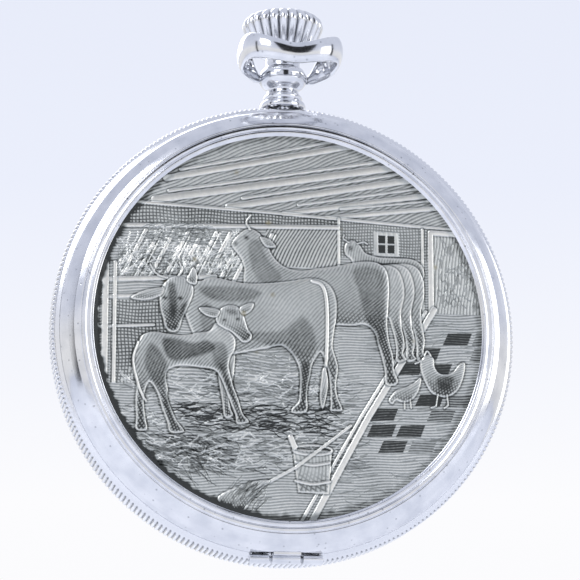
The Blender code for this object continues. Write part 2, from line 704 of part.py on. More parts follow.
def going_train():
    """The wheels and pinions from the centre to the escape wheel."""
    hub = 0.42
    near, far = BRIDGE_NEAR + 0.1, PLATE_FAR - 0.1
    inner_near, inner_far = BRIDGE_FAR + 0.05, PLATE_NEAR - 0.05

    wheel = (CENTRE, CENTRE_TEETH, CENTRE_MODULE, CENTRE_WHEEL_NEAR, CENTRE_LEAVES)
    train_wheel("centre_wheel", *wheel, 0.6, CENTRE_PHASE)
    tip, root = leaf_radii(CENTRE_LEAVES, BARREL_MODULE)
    sections = [(near, inner_near, PIVOT), (inner_near, 4.55, 0.6), (4.55, inner_far, tip, root)]
    sections += [(inner_far, PLATE_FAR + 0.1, 0.5), (PLATE_FAR + 0.1, MINUTE_HAND_NEAR + HAND_WALL, 0.3)]
    make("centre_pinion", arbor(CENTRE, CENTRE_LEAVES, sections, CENTRE_PHASE), STEEL)

    wheel = (THIRD, THIRD_TEETH, THIRD_MODULE, THIRD_WHEEL_NEAR, THIRD_LEAVES)
    train_wheel("third_wheel", *wheel, hub, THIRD_PHASE)
    tip, root = leaf_radii(THIRD_LEAVES, CENTRE_MODULE)
    leaves_far = CENTRE_WHEEL_NEAR + WHEEL_WALL + 0.1
    sections = [(near, inner_near, PIVOT), (inner_near, leaves_far, tip, root), (leaves_far, inner_far, hub)]
    sections += [(inner_far, far, PIVOT)]
    pivot = (THIRD[0], near, THIRD[1])
    make("third_pinion", arbor(THIRD, THIRD_LEAVES, sections, THIRD_PHASE), STEEL, pivot=pivot)

    wheel = (FOURTH, FOURTH_TEETH, FOURTH_MODULE, FOURTH_WHEEL_NEAR, FOURTH_LEAVES)
    train_wheel("fourth_wheel", *wheel, hub, FOURTH_PHASE)
    tip, root = leaf_radii(FOURTH_LEAVES, THIRD_MODULE)
    leaves_near, leaves_far = THIRD_WHEEL_NEAR - 0.1, THIRD_WHEEL_NEAR + WHEEL_WALL + 0.1
    sections = [(near, inner_near, PIVOT), (inner_near, leaves_near, hub)]
    sections += [(leaves_near, leaves_far, tip, root), (leaves_far, inner_far, hub)]
    sections += [(inner_far, SECONDS_HAND_NEAR + HAND_WALL - 0.05, PIVOT)]
    pivot = (FOURTH[0], near, FOURTH[1])
    make("fourth_pinion", arbor(FOURTH, FOURTH_LEAVES, sections, FOURTH_PHASE), STEEL, pivot=pivot)

    outline = []
    for i in range(ESCAPE_TEETH):
        for radius, step in ((ESCAPE_RADIUS, 0.0), (ESCAPE_RADIUS - 0.05, 0.16), (ESCAPE_RADIUS - 0.8, 0.3)):
            outline.append(out_from(ESCAPE, (i + step) * 360 / ESCAPE_TEETH, radius))
    bore = circle(ESCAPE, 0.3 + FIT, 2 * ESCAPE_LEAVES, ESCAPE_PHASE)
    pivot = (ESCAPE[0], ESCAPE_WHEEL_NEAR, ESCAPE[1])
    wheel_far = ESCAPE_WHEEL_NEAR + WHEEL_WALL
    make("escape_wheel", plate(outline, ESCAPE_WHEEL_NEAR, wheel_far, [bore]), STEEL, pivot=pivot)
    tip, root = leaf_radii(ESCAPE_LEAVES, FOURTH_MODULE)
    leaves_near, leaves_far = FOURTH_WHEEL_NEAR - 0.1, FOURTH_WHEEL_NEAR + WHEEL_WALL + 0.1
    sections = [(near, inner_near, PIVOT), (inner_near, leaves_near, 0.3)]
    sections += [(leaves_near, leaves_far, tip, root), (leaves_far, inner_far, 0.3), (inner_far, far, PIVOT)]
    make("escape_pinion", arbor(ESCAPE, ESCAPE_LEAVES, sections, ESCAPE_PHASE), STEEL, pivot=pivot)


BARREL_DRUM = 8.4
BARREL_WALL = 0.5
BARREL_FLOOR = 0.35
BARREL_NEAR = 4.07
BARREL_TOOTH_NEAR = 5.0
BARREL_FAR = 5.45
ARBOR_RADIUS = 1.2
ARBOR_SEAT = 0.8


def barrel():
    """The mainspring barrel with its lid, spring and arbor."""
    pitch = BARREL_TEETH * BARREL_MODULE / 2
    outline = toothed(BARREL, BARREL_TEETH, pitch, BARREL_MODULE, BARREL_PHASE)
    bore = circle(BARREL, ARBOR_RADIUS + PIVOT_PLAY, 16)
    drum = circle(BARREL, BARREL_DRUM, 40)
    hollow = circle(BARREL, BARREL_DRUM - BARREL_WALL, 40)
    pivot = (BARREL[0], BARREL_NEAR, BARREL[1])
    make("mainspring_barrel", drum_cup(outline, drum, hollow, bore), GILT, pivot=pivot)
    lid = plate(drum, BARREL_NEAR - 0.2, BARREL_NEAR - 0.02, [bore])
    make("barrel_lid", lid, GILT, pivot=pivot)
    path = spiral(BARREL, ARBOR_RADIUS + 0.3, BARREL_DRUM - BARREL_WALL - 0.35, 6, 12)
    spring = ribbon(path, BARREL_NEAR + 0.1, BARREL_TOOTH_NEAR - 0.1, 0.18)
    make("mainspring", spring, STEEL, 0.35, pivot=pivot)
    profile = [
        (0.35, WHEEL_NEAR + 0.9),
        (0.35, WHEEL_NEAR),
        (ARBOR_SEAT, WHEEL_NEAR),
        (ARBOR_SEAT, BRIDGE_FAR + 0.03),
        (ARBOR_RADIUS, BRIDGE_FAR + 0.03),
        (ARBOR_RADIUS, BARREL_FAR + 0.05),
        (0.6, BARREL_FAR + 0.05),
        (0.6, PLATE_FAR - 0.1),
    ]
    make("barrel_arbor", turned(profile, BARREL, 16), STEEL, pivot=pivot)


def drum_cup(outline, drum, hollow, bore):
    """A toothed disc with a hollow drum on its near face and a bore through its floor."""
    skin = Skin()
    floor = BARREL_FAR - BARREL_FLOOR
    teeth_far, teeth_near = skin.rim(outline, BARREL_FAR), skin.rim(outline, BARREL_TOOTH_NEAR)
    drum_foot, drum_mouth = skin.rim(drum, BARREL_TOOTH_NEAR), skin.rim(drum, BARREL_NEAR)
    hollow_mouth, hollow_floor = skin.rim(hollow, BARREL_NEAR), skin.rim(hollow, floor)
    bore_floor, bore_far = skin.rim(bore, floor), skin.rim(bore, BARREL_FAR)
    skin.wall(teeth_far, teeth_near)
    skin.wall(drum_foot, drum_mouth)
    skin.wall(hollow_mouth, hollow_floor)
    skin.wall(bore_floor, bore_far)
    skin.fill(teeth_near, drum_foot)
    skin.fill(drum_mouth, hollow_mouth)
    skin.fill(hollow_floor, bore_floor)
    skin.fill(teeth_far, bore_far)
    return skin.bm


CLICK_BORE = 0.45
CLICK = out_from(BARREL, 205, RATCHET_RADIUS + 1.9)
SCREW_SHANK = 0.38
SCREW_BORE = 0.42
PALLET_BRIDGE_NEAR = 4.4
PALLET_BRIDGE_FAR = 4.8
PALLET_FOOT = (-7.9, -13.3)
COCK_FOOT = (-13.3, -13.8)
BARREL_FEET = ((13.6, 9.6), (-17.6, 5.0), (6.8, 17.2))
TRAIN_FEET = ((15.2, -4.4), (6.2, -17.0))
CASE_SCREWS = ((-17.4, 9.6), (17.6, -9.4))


def arc(radius, start, end, count):
    """Points along a circle about the middle of the case, between two angles in degrees."""
    return [out_from(CENTRE, start + (end - start) * i / (count - 1), radius) for i in range(count)]


def link(centre_a, radius_a, centre_b, radius_b, count=6):
    """The outline round two circles, like a strap pulled over two pulleys."""
    apart = hypot(centre_b[0] - centre_a[0], centre_b[1] - centre_a[1])
    line = atan2(centre_b[1] - centre_a[1], centre_b[0] - centre_a[0])
    lean = pi / 2 + asin((radius_b - radius_a) / apart)
    points = []
    for centre, radius, start, sweep in (
        (centre_b, radius_b, line - lean, 2 * lean),
        (centre_a, radius_a, line + lean, tau - 2 * lean),
    ):
        for i in range(count):
            angle = start + sweep * i / (count - 1)
            points.append((centre[0] + radius * cos(angle), centre[1] + radius * sin(angle)))
    return points


def feet(places, radius, end):
    """Bosses of bridge feet, bored for their screws."""
    return [(circle(place, radius, 12), end, circle(place, SCREW_BORE, 8)) for place in places]


def screw(name, place, near, head, shank, end, head_height=0.4):
    """A cheese-head screw whose head stands between near and near plus its height."""
    x, z = place
    profile = [(head, near), (head, near + head_height), (shank, near + head_height), (shank, end)]
    make(name, turned(profile, place, 8), STEEL, 0.2, pivot=(x, near, z))


def mainplate():
    """The plate that everything in the movement is planted on, slotted for the winding pinion."""
    slot = WINDING_RADIUS + 0.4
    edge = degrees(asin(slot / PLATE_RADIUS))
    outline = arc(PLATE_RADIUS, 90 + edge, 450 - edge, 52)
    outline += [(slot, 16.2), (-slot, 16.2)]
    holes = [pivot_hole(place) for place in (THIRD, FOURTH, ESCAPE, PALLET, BALANCE)]
    holes.append(circle(CENTRE, 0.5 + PIVOT_PLAY, 16))
    holes.append(circle(BARREL, 0.6 + PIVOT_PLAY, 16))
    screws = (*BARREL_FEET, *TRAIN_FEET, COCK_FOOT, PALLET_FOOT, *CASE_SCREWS)
    holes += [circle(place, SCREW_BORE, 8) for place in screws]
    stud = (circle(MINUTE_WHEEL, 0.3, 12), 7.35)
    make("mainplate", plate(outline, PLATE_NEAR, PLATE_FAR, holes, [stud]), NICKEL, 0.3)


def bridges():
    """The bridges and cocks that hold the arbors' near pivots, and their screws."""
    seat = PLATE_NEAR - SEAT / 2
    bridge_radius = 20.4
    slot = WINDING_RADIUS + 0.4
    edge = degrees(asin(slot / bridge_radius))
    outline = arc(bridge_radius, 12, 90 - edge, 12) + [(slot, 16.6), (-slot, 16.6)]
    outline += arc(bridge_radius, 90 + edge, 184, 14) + [(-4.0, -0.8), (-2.9, 2.9), (3.2, 3.6)]
    holes = [circle(BARREL, ARBOR_SEAT + PIVOT_PLAY, 16)]
    bosses = feet(BARREL_FEET, 1.6, seat)
    bosses.append((circle(CROWN_WHEEL, 1.25, 16), WHEEL_NEAR + 0.05, circle(CROWN_WHEEL, SCREW_BORE, 8)))
    bosses.append((circle(CLICK, 0.4, 12), WHEEL_NEAR - 0.1))
    make("barrel_bridge", plate(outline, BRIDGE_NEAR, BRIDGE_FAR, holes, bosses), NICKEL, 0.3)

    outline = arc(bridge_radius, 283, 368, 14)
    outline += [(3.6, 3.0), (2.4, 2.3), (-2.2, 2.2), (-2.4, -1.4), (-1.6, -6.4), (-5.4, -10.3)]
    outline += [(-6.0, -12.4), (-4.9, -13.6), (-1.0, -13.4)]
    holes = [pivot_hole(place) for place in (CENTRE, THIRD, FOURTH, ESCAPE)]
    bosses = feet(TRAIN_FEET, 1.6, seat)
    make("train_bridge", plate(outline, BRIDGE_NEAR, BRIDGE_FAR, holes, bosses), NICKEL, 0.3)

    outline = link(COCK_FOOT, 1.9, BALANCE, 1.7, 8)
    cock = plate(outline, COCK_NEAR, COCK_FAR, [pivot_hole(BALANCE)], feet([COCK_FOOT], 1.2, seat))
    make("balance_cock", cock, NICKEL, 0.3)

    outline = link(PALLET_FOOT, 0.85, PALLET, 0.75)
    pallet = plate(
        outline, PALLET_BRIDGE_NEAR, PALLET_BRIDGE_FAR, [pivot_hole(PALLET)], feet([PALLET_FOOT], 0.7, seat)
    )
    make("pallet_bridge", pallet, NICKEL, 0.3)

    end = PLATE_FAR - 0.3
    for i, place in enumerate(BARREL_FEET):
        screw(f"barrel_bridge_screw_{i + 1}", place, WHEEL_NEAR + 0.1, 0.8, SCREW_SHANK, end)
    for i, place in enumerate(TRAIN_FEET):
        screw(f"train_bridge_screw_{i + 1}", place, WHEEL_NEAR + 0.1, 0.8, SCREW_SHANK, end)
    screw("balance_cock_screw", COCK_FOOT, COCK_NEAR - 0.45, 0.8, SCREW_SHANK, end)
    screw("pallet_bridge_screw", PALLET_FOOT, PALLET_BRIDGE_NEAR - 0.35, 0.6, SCREW_SHANK, end, 0.3)
    for i, place in enumerate(CASE_SCREWS):
        screw(f"case_screw_{i + 1}", place, PLATE_NEAR - 0.45, 1.1, SCREW_SHANK, end)


def winding_wheels():
    """The ratchet wheel, the crown wheel and the click on the barrel bridge."""
    near, far = WHEEL_NEAR, WHEEL_NEAR + WINDING_WALL
    outline = toothed(BARREL, RATCHET_TEETH, RATCHET_RADIUS, WINDING_MODULE, RATCHET_PHASE)
    bore = circle(BARREL, ARBOR_SEAT + FIT, 16)
    make("ratchet_wheel", plate(outline, near, far, [bore]), STEEL, pivot=(BARREL[0], near, BARREL[1]))
    screw("ratchet_screw", BARREL, near - 0.45, 1.6, 0.3, near + 0.8)
    outline = toothed(CROWN_WHEEL, CROWN_WHEEL_TEETH, CROWN_WHEEL_RADIUS, WINDING_MODULE, 0.0)
    bore = circle(CROWN_WHEEL, 1.25 + PIN_FIT, 16)
    pivot = (CROWN_WHEEL[0], near, CROWN_WHEEL[1])
    make("crown_wheel", plate(outline, near, far, [bore]), STEEL, pivot=pivot)
    screw("crown_wheel_screw", CROWN_WHEEL, near - 0.45, 1.9, SCREW_SHANK, BRIDGE_FAR)
    tip = out_from(BARREL, 193, RATCHET_RADIUS + 0.7 * WINDING_MODULE + 0.3)
    outline = link(CLICK, 0.8, tip, 0.22)
    click = plate(outline, near, far, [circle(CLICK, CLICK_BORE, 12)])
    make("click", click, STEEL, pivot=(CLICK[0], near, CLICK[1]))
    path = [out_from(BARREL, angle, RATCHET_RADIUS + 3.6) for angle in range(180, 222, 6)]
    make("click_spring", ribbon(path, near + 0.05, far, 0.3), STEEL)


def escapement():
    """The pallet fork, the balance with its staff and hairspring, and the regulator."""
    toward = (cos(radians(145)), sin(radians(145)))
    shape = [(2.75, 0.42), (2.2, 0.16), (0.5, 0.28), (0.3, 1.9), (-1.2, 2.3), (-1.2, 1.95), (-0.1, 1.6)]
    shape += [(-0.42, 0.4)]
    shape += [(u, -v) for u, v in reversed(shape)] + [(2.4, 0.0)]
    outline = [
        (PALLET[0] + u * toward[0] - v * toward[1], PALLET[1] + u * toward[1] + v * toward[0]) for u, v in shape
    ]
    near, far = ESCAPE_WHEEL_NEAR, ESCAPE_WHEEL_NEAR + WHEEL_WALL
    pivot = (PALLET[0], near, PALLET[1])
    bore = circle(PALLET, 0.25 + FIT, 12)
    make("pallet_fork", plate(outline, near, far, [bore]), STEEL, pivot=pivot)
    sections = [(PALLET_BRIDGE_NEAR + 0.05, PALLET_BRIDGE_FAR + 0.05, PIVOT)]
    sections += [(PALLET_BRIDGE_FAR + 0.05, PLATE_NEAR - 0.05, 0.25), (PLATE_NEAR - 0.05, PLATE_FAR - 0.1, PIVOT)]
    make("pallet_arbor", arbor(PALLET, 6, sections), STEEL, pivot=pivot)

    pivot = (BALANCE[0], BALANCE_NEAR, BALANCE[1])
    hub = 0.45
    holes = [circle(BALANCE, hub + FIT, 12)] + crossings(BALANCE, hub + 0.6, BALANCE_RADIUS - 0.55, 3, 0.3)
    rim = circle(BALANCE, BALANCE_RADIUS, 36)
    make("balance_wheel", plate(rim, BALANCE_NEAR, BALANCE_FAR, holes), GILT, pivot=pivot)
    roller_near = ESCAPE_WHEEL_NEAR - 0.35
    sections = [
        (COCK_NEAR + 0.1, COCK_FAR + 0.05, PIVOT),
        (COCK_FAR + 0.05, BALANCE_NEAR - 0.05, 0.32),
        (BALANCE_NEAR - 0.05, BALANCE_FAR + 0.05, hub),
        (BALANCE_FAR + 0.05, roller_near, 0.3),
        (roller_near, roller_near + 0.25, 0.9),
        (roller_near + 0.25, PLATE_NEAR - 0.05, 0.3),
        (PLATE_NEAR - 0.05, PLATE_FAR - 0.1, PIVOT),
    ]
    make("balance_staff", arbor(BALANCE, 6, sections), STEEL, pivot=pivot)
    coil = spiral(BALANCE, 0.6, 2.9, 6, 12)
    make("hairspring", ribbon(coil, COCK_FAR + 0.12, BALANCE_NEAR - 0.2, 0.06), BLUED, pivot=pivot)

    outline = link(BALANCE, 0.9, out_from(BALANCE, 60, 3.2), 0.2)
    near = COCK_NEAR - 0.3
    lever = plate(outline, near, COCK_NEAR - 0.05, [circle(BALANCE, 0.4, 12)])
    make("regulator", lever, STEEL, pivot=(BALANCE[0], near, BALANCE[1]))


# Dial side


def sleeve(centre, leaves, sections, bore, phase=0.0):
    """A bored pinion: sections are (near, far, radius) or (near, far, tip, root), in depth order."""
    loops = [[(x, sections[0][0], z) for x, z in circle(centre, bore, 2 * leaves, phase)]]
    for near, far, tip, *root in sections:
        for depth in (near, far):
            points = zigzag(centre, leaves, tip, root[0] if root else tip, phase)
            loops.append([(x, depth, z) for x, z in points])
    loops.append([(x, sections[-1][1], z) for x, z in circle(centre, bore, 2 * leaves, phase)])
    return stack(loops, closed=True)


def motion_works():
    """The cannon pinion, minute wheel and hour wheel under the dial."""
    near = PLATE_FAR + 0.15
    tip, root = leaf_radii(CANNON_LEAVES, CANNON_MODULE)
    sections = [(near, near + 0.25, tip, root), (near + 0.25, MINUTE_HAND_NEAR - 0.05, 0.62)]
    sections += [(MINUTE_HAND_NEAR - 0.05, MINUTE_HAND_NEAR + HAND_WALL, 0.45)]
    make("cannon_pinion", sleeve(CENTRE, CANNON_LEAVES, sections, 0.3 + FIT), STEEL)

    tip, root = leaf_radii(MINUTE_LEAVES, HOUR_MODULE)
    pitch = MINUTE_TEETH * CANNON_MODULE / 2
    outline = toothed(MINUTE_WHEEL, MINUTE_TEETH, pitch, CANNON_MODULE, MINUTE_PHASE)
    leaves = zigzag(MINUTE_WHEEL, MINUTE_LEAVES, tip, root, MINUTE_PHASE)
    bore = circle(MINUTE_WHEEL, 0.3 + PIN_FIT, 12)
    wheel = plate(outline, near, near + 0.2, bosses=[(leaves, near + 0.6, bore)])
    make("minute_wheel", wheel, GILT, pivot=(MINUTE_WHEEL[0], near, MINUTE_WHEEL[1]))

    pitch = HOUR_TEETH * HOUR_MODULE / 2
    outline = toothed(CENTRE, HOUR_TEETH, pitch, HOUR_MODULE, HOUR_PHASE)
    tube = (circle(CENTRE, 0.92, 16), HOUR_HAND_NEAR + HAND_WALL, circle(CENTRE, 0.68, 16))
    make("hour_wheel", plate(outline, near + 0.3, near + 0.5, bosses=[tube]), GILT)


def dial_and_hands():
    """The dial with its feet, and the three hands."""
    holes = [circle(CENTRE, 1.1, 16), circle(FOURTH, PIVOT + 0.15, 12)]
    places = (out_from(CENTRE, 150, 16.5), out_from(CENTRE, 330, 16.5))
    pins = [(circle(place, 0.4, 8), PLATE_FAR + SEAT) for place in places]
    far = DIAL_NEAR + DIAL_WALL
    dial = plate(circle(CENTRE, DIAL_RADIUS, 48), DIAL_NEAR, far, holes, pins)
    make("dial", dial, ENAMEL, 0.15, 0.0)
    for name, centre, near, hub, bore, points, length, angle in (
        ("hour_hand", CENTRE, HOUR_HAND_NEAR, 1.5, 0.92 + FIT, 16, 11.0, 35),
        ("minute_hand", CENTRE, MINUTE_HAND_NEAR, 1.1, 0.45 + FIT, 12, 16.8, 150),
        ("seconds_hand", FOURTH, SECONDS_HAND_NEAR, 0.6, PIVOT + FIT, 12, 4.0, 90),
    ):
        tip = out_from(centre, angle, length)
        outline = link(centre, hub, tip, 0.12)
        hand = plate(outline, near, near + HAND_WALL, [circle(centre, bore, points)])
        make(name, hand, BLUED, 0.2, pivot=(centre[0], near, centre[1]))


def main():
    """Build every piece."""
    clear_scene()
    case_band()
    back_cover()
    dust_cover()
    hinge_pin("back_hinge_pin", KNUCKLE, BACK_HINGE_DEPTH, BACK_HINGE_Z)
    hinge_pin("dust_hinge_pin", DUST_KNUCKLE, BACK_HINGE_DEPTH, DUST_HINGE_Z)
    bezel()
    crystal()
    pendant()
    bow()
    crown_and_stem()
    winding_pinion()
    mainplate()
    bridges()
    winding_wheels()
    barrel()
    going_train()
    escapement()
    motion_works()
    dial_and_hands()


main()
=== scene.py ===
"""Surfaces, finishes and a plain studio for an open face pocket watch whose frame is already packed."""

import json
import math
import sys

import bmesh
import bpy
import numpy as np
from mathutils import Matrix, Vector
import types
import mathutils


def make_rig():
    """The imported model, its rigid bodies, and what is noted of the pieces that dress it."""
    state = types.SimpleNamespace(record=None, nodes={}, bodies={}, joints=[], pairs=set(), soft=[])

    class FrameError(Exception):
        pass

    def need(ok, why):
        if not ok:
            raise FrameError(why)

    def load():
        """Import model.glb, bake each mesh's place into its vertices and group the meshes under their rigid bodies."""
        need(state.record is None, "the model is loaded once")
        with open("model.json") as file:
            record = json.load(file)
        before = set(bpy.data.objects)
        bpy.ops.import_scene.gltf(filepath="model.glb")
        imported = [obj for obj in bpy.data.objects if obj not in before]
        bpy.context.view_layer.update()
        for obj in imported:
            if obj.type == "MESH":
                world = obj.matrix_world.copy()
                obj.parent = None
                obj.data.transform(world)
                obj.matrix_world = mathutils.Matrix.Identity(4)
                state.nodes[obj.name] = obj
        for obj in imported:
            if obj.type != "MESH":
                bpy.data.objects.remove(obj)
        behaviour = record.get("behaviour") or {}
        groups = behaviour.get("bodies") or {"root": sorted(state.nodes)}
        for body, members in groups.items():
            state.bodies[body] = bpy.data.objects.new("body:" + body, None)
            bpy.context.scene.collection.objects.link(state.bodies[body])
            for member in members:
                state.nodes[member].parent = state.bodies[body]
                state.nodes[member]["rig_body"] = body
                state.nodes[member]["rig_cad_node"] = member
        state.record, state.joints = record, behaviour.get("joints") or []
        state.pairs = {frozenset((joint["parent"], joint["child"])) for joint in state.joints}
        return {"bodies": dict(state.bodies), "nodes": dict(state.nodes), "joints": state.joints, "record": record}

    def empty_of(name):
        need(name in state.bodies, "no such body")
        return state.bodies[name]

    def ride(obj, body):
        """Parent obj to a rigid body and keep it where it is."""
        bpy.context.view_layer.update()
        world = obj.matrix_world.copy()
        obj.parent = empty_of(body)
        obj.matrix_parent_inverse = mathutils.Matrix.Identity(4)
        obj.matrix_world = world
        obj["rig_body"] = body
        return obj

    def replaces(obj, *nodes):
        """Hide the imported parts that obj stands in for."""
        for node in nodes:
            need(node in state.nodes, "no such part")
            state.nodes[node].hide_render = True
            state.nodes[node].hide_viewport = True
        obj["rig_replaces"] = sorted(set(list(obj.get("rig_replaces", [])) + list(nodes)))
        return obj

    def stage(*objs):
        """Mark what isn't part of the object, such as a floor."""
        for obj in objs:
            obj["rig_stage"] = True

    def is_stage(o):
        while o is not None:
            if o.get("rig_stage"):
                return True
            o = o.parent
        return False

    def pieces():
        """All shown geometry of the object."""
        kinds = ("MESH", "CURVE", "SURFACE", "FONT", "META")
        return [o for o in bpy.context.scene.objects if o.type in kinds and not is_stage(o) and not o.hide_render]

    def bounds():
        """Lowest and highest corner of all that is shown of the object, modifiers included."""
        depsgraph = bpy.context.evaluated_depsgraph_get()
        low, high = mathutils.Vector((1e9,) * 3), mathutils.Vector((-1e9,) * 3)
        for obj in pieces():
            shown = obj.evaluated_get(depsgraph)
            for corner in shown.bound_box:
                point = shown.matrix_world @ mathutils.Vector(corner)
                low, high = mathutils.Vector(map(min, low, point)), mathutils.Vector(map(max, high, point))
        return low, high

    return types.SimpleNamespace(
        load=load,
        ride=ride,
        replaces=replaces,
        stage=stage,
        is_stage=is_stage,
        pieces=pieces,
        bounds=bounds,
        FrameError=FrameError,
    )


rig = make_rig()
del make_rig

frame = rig.load()

bl_info = {
    "name": "Open face pocket watch",
    "version": (1, 0, 0),
    "blender": (4, 5, 0),
    "location": "3D View > Sidebar > Watch",
    "description": "Builds the case, chased back, dial and finishes of a pocket watch on its packed frame",
    "category": "Object",
}

MM = 0.001
CASE_RADIUS = 25.0
MIDDLE = 5.0
FIELD_RADIUS = 20.9
HINGE_DEPTH = 2.625
HINGE_HEIGHT = -24.5
HINGE_TUBE = (0.5, 0.24)  # outer and bore radius
INNER_HINGE_HEIGHT = -22.75
INNER_HINGE_TUBE = (0.34, 0.17)
KNUCKLE_HALF = 1.5
INK = (7.99, 8.02)  # depths between which the dial's paint lies
PIVOT_HEIGHT = 28.7
BOW_HALF_WIDTH, BOW_RISE, BOW_HALF_HEIGHT = 5.1, 5.1, 4.6
BOW_SQUARED = 0.7  # power that squares the oval: 1 would be an ellipse
BOW_ARCH = 1.3
CROWN_FOOT = 31.5
STRIPS = 6  # bands that the chased field is cut into
THIRD, FOURTH, ESCAPE = (4.32, -5.76), (0.0, -9.6), (-4.50, -11.66)


# ---------------------------------------------------------------- shapes


def placed(across, depth, height):
    """Case millimetres to model metres: depth counts from the back's field, height from the case's centre."""
    return np.stack([across, depth - MIDDLE, height + CASE_RADIUS], axis=-1) * MM


def softened(corners, radius, steps=4, closed=True):
    """A profile whose corners are parabolas: each starts and ends `radius` along the sides that it joins."""
    at = np.array(corners, float)
    before, after = np.roll(at, 1, axis=0) - at, np.roll(at, -1, axis=0) - at
    back, ahead = (np.linalg.norm(side, axis=1, keepdims=True) for side in (before, after))
    radius = np.broadcast_to(np.asarray(radius, float).reshape(-1, 1), back.shape)
    start = at + before / back * np.minimum(radius, back * 0.45)
    end = at + after / ahead * np.minimum(radius, ahead * 0.45)
    t = np.linspace(0, 1, steps)[None, :, None]
    curve = (1 - t) ** 2 * start[:, None] + 2 * t * (1 - t) * at[:, None] + t**2 * end[:, None]
    if not closed:
        inner = curve[1:-1].reshape(-1, at.shape[1])
        return np.concatenate([at[:1], inner, at[-1:]])
    return curve.reshape(-1, at.shape[1])


def flowing(points, steps=8, closed=True):
    """A Catmull-Rom curve: cubics through the points, with slopes of half the neighbours' chord."""
    p = np.array(points, float)
    if not closed:
        p = np.concatenate([2 * p[:1] - p[1:2], p, 2 * p[-1:] - p[-2:-1]])
        a, b, c, d = p[:-3], p[1:-2], p[2:-1], p[3:]
    else:
        a, b, c, d = np.roll(p, 1, 0), p, np.roll(p, -1, 0), np.roll(p, -2, 0)
    t = (np.arange(steps) / steps)[None, :, None]
    a, b, c, d = (q[:, None] for q in (a, b, c, d))
    curve = 0.5 * (2 * b + (c - a) * t + (2 * a - 5 * b + 4 * c - d) * t**2 + (3 * b - a - 3 * c + d) * t**3)
    curve = curve.reshape(-1, p.shape[1])
    return curve if closed else np.concatenate([curve, np.array(points[-1:], float)])


def as_mesh(name, points, faces, sharp=32.0, marks=None):
    """A mesh of points and arrays of faces, turned to face outwards by the sign of its volume."""
    volume = 0.0
    for face in faces:
        first = points[face[:, 0]]
        for k in range(1, face.shape[1] - 1):
            volume += np.einsum("ij,ij->", first, np.cross(points[face[:, k]], points[face[:, k + 1]]))
    if volume < 0:
        faces = [face[:, ::-1] for face in faces]
    counts = np.concatenate([np.full(len(face), face.shape[1]) for face in faces])
    mesh = bpy.data.meshes.new(name)
    mesh.vertices.add(len(points))
    mesh.vertices.foreach_set("co", points.astype(np.float32).ravel())
    mesh.loops.add(int(counts.sum()))
    mesh.loops.foreach_set("vertex_index", np.concatenate([f.ravel() for f in faces]).astype(np.int32))
    mesh.polygons.add(len(counts))
    mesh.polygons.foreach_set("loop_start", (np.cumsum(counts) - counts).astype(np.int32))
    mesh.polygons.foreach_set("use_smooth", np.ones(len(counts), bool))
    mesh.update(calc_edges=True)
    mesh.set_sharp_from_angle(angle=math.radians(sharp))
    for key, values in (marks or {}).items():
        layer = mesh.attributes.new(key, "FLOAT", "POINT")
        layer.data.foreach_set("value", values.astype(np.float32).ravel())
    return mesh


def grid_faces(rows, columns, row_wrap, column_wrap):
    """Quads between neighbours of a grid of points, closed round in the directions that wrap."""
    i = np.arange(rows if row_wrap else rows - 1)[:, None]
    j = np.arange(columns if column_wrap else columns - 1)[None, :]
    down, right = (i + 1) % rows, (j + 1) % columns
    corners = [i * columns + j, down * columns + j, down * columns + right, i * columns + right]
    return np.stack([np.broadcast_to(c, (i.size, j.size)) for c in corners], axis=-1).reshape(-1, 4)


def skin(name, points, row_wrap=False, sharp=32.0, marks=None):
    """A closed surface over a grid whose columns run round: rows wrap, or end in fans to their middles."""
    rows, columns = points.shape[:2]
    faces = [grid_faces(rows, columns, row_wrap, True)]
    flat = points.reshape(-1, 3)
    if not row_wrap:
        j = np.arange(columns)
        nxt, count = (j + 1) % columns, rows * columns
        flat = np.concatenate([flat, points[0].mean(0)[None], points[-1].mean(0)[None]])
        low = np.stack([np.full(columns, count), j, nxt], axis=-1)
        top = (rows - 1) * columns
        high = np.stack([np.full(columns, count + 1), top + nxt, top + j], axis=-1)
        faces += [low, high]
        marks = {k: np.append(v.ravel(), [v[0].mean(), v[-1].mean()]) for k, v in (marks or {}).items()}
    return as_mesh(name, flat, faces, sharp, marks)


def turned(name, profile, round_axis, count=256, closed=True, centre=(0.0, 0.0), sharp=32.0):
    """A profile of (radius, place along the axis) carried round the axis: radius times cosine and sine."""
    angle = np.linspace(0, 2 * np.pi, count, endpoint=False)[None, :]
    radius, along = profile[:, :1], profile[:, 1:2] + 0 * angle
    c, s = radius * np.cos(angle), radius * np.sin(angle)
    if round_axis == "depth":
        points = placed(centre[0] + c, along, centre[1] + s)
    elif round_axis == "height":
        points = placed(centre[0] + c, centre[1] + s, along)
    else:
        points = placed(along, centre[0] + c, centre[1] + s)
    return skin(name, points, row_wrap=closed, sharp=sharp)


def bars(name, low, high, centres, angles):
    """Raised bars: one box repeated at centres and turned by angles in the dial's plane."""
    unit = np.array([[x, y, z] for x in (0, 1) for y in (0, 1) for z in (0, 1)], float)
    box = np.array(low) + unit * (np.array(high) - np.array(low))
    c, s = np.cos(angles)[:, None], np.sin(angles)[:, None]
    x = centres[:, :1] + box[None, :, 0] * c - box[None, :, 2] * s
    z = centres[:, 1:] + box[None, :, 0] * s + box[None, :, 2] * c
    points = placed(x, box[None, :, 1] + 0 * x, z).reshape(-1, 3)
    sides = np.array([[0, 1, 3, 2], [4, 6, 7, 5], [0, 4, 5, 1], [2, 3, 7, 6], [0, 2, 6, 4], [1, 5, 7, 3]])
    faces = (np.arange(len(angles))[:, None, None] * 8 + sides[None]).reshape(-1, 4)
    return as_mesh(name, points, [faces])


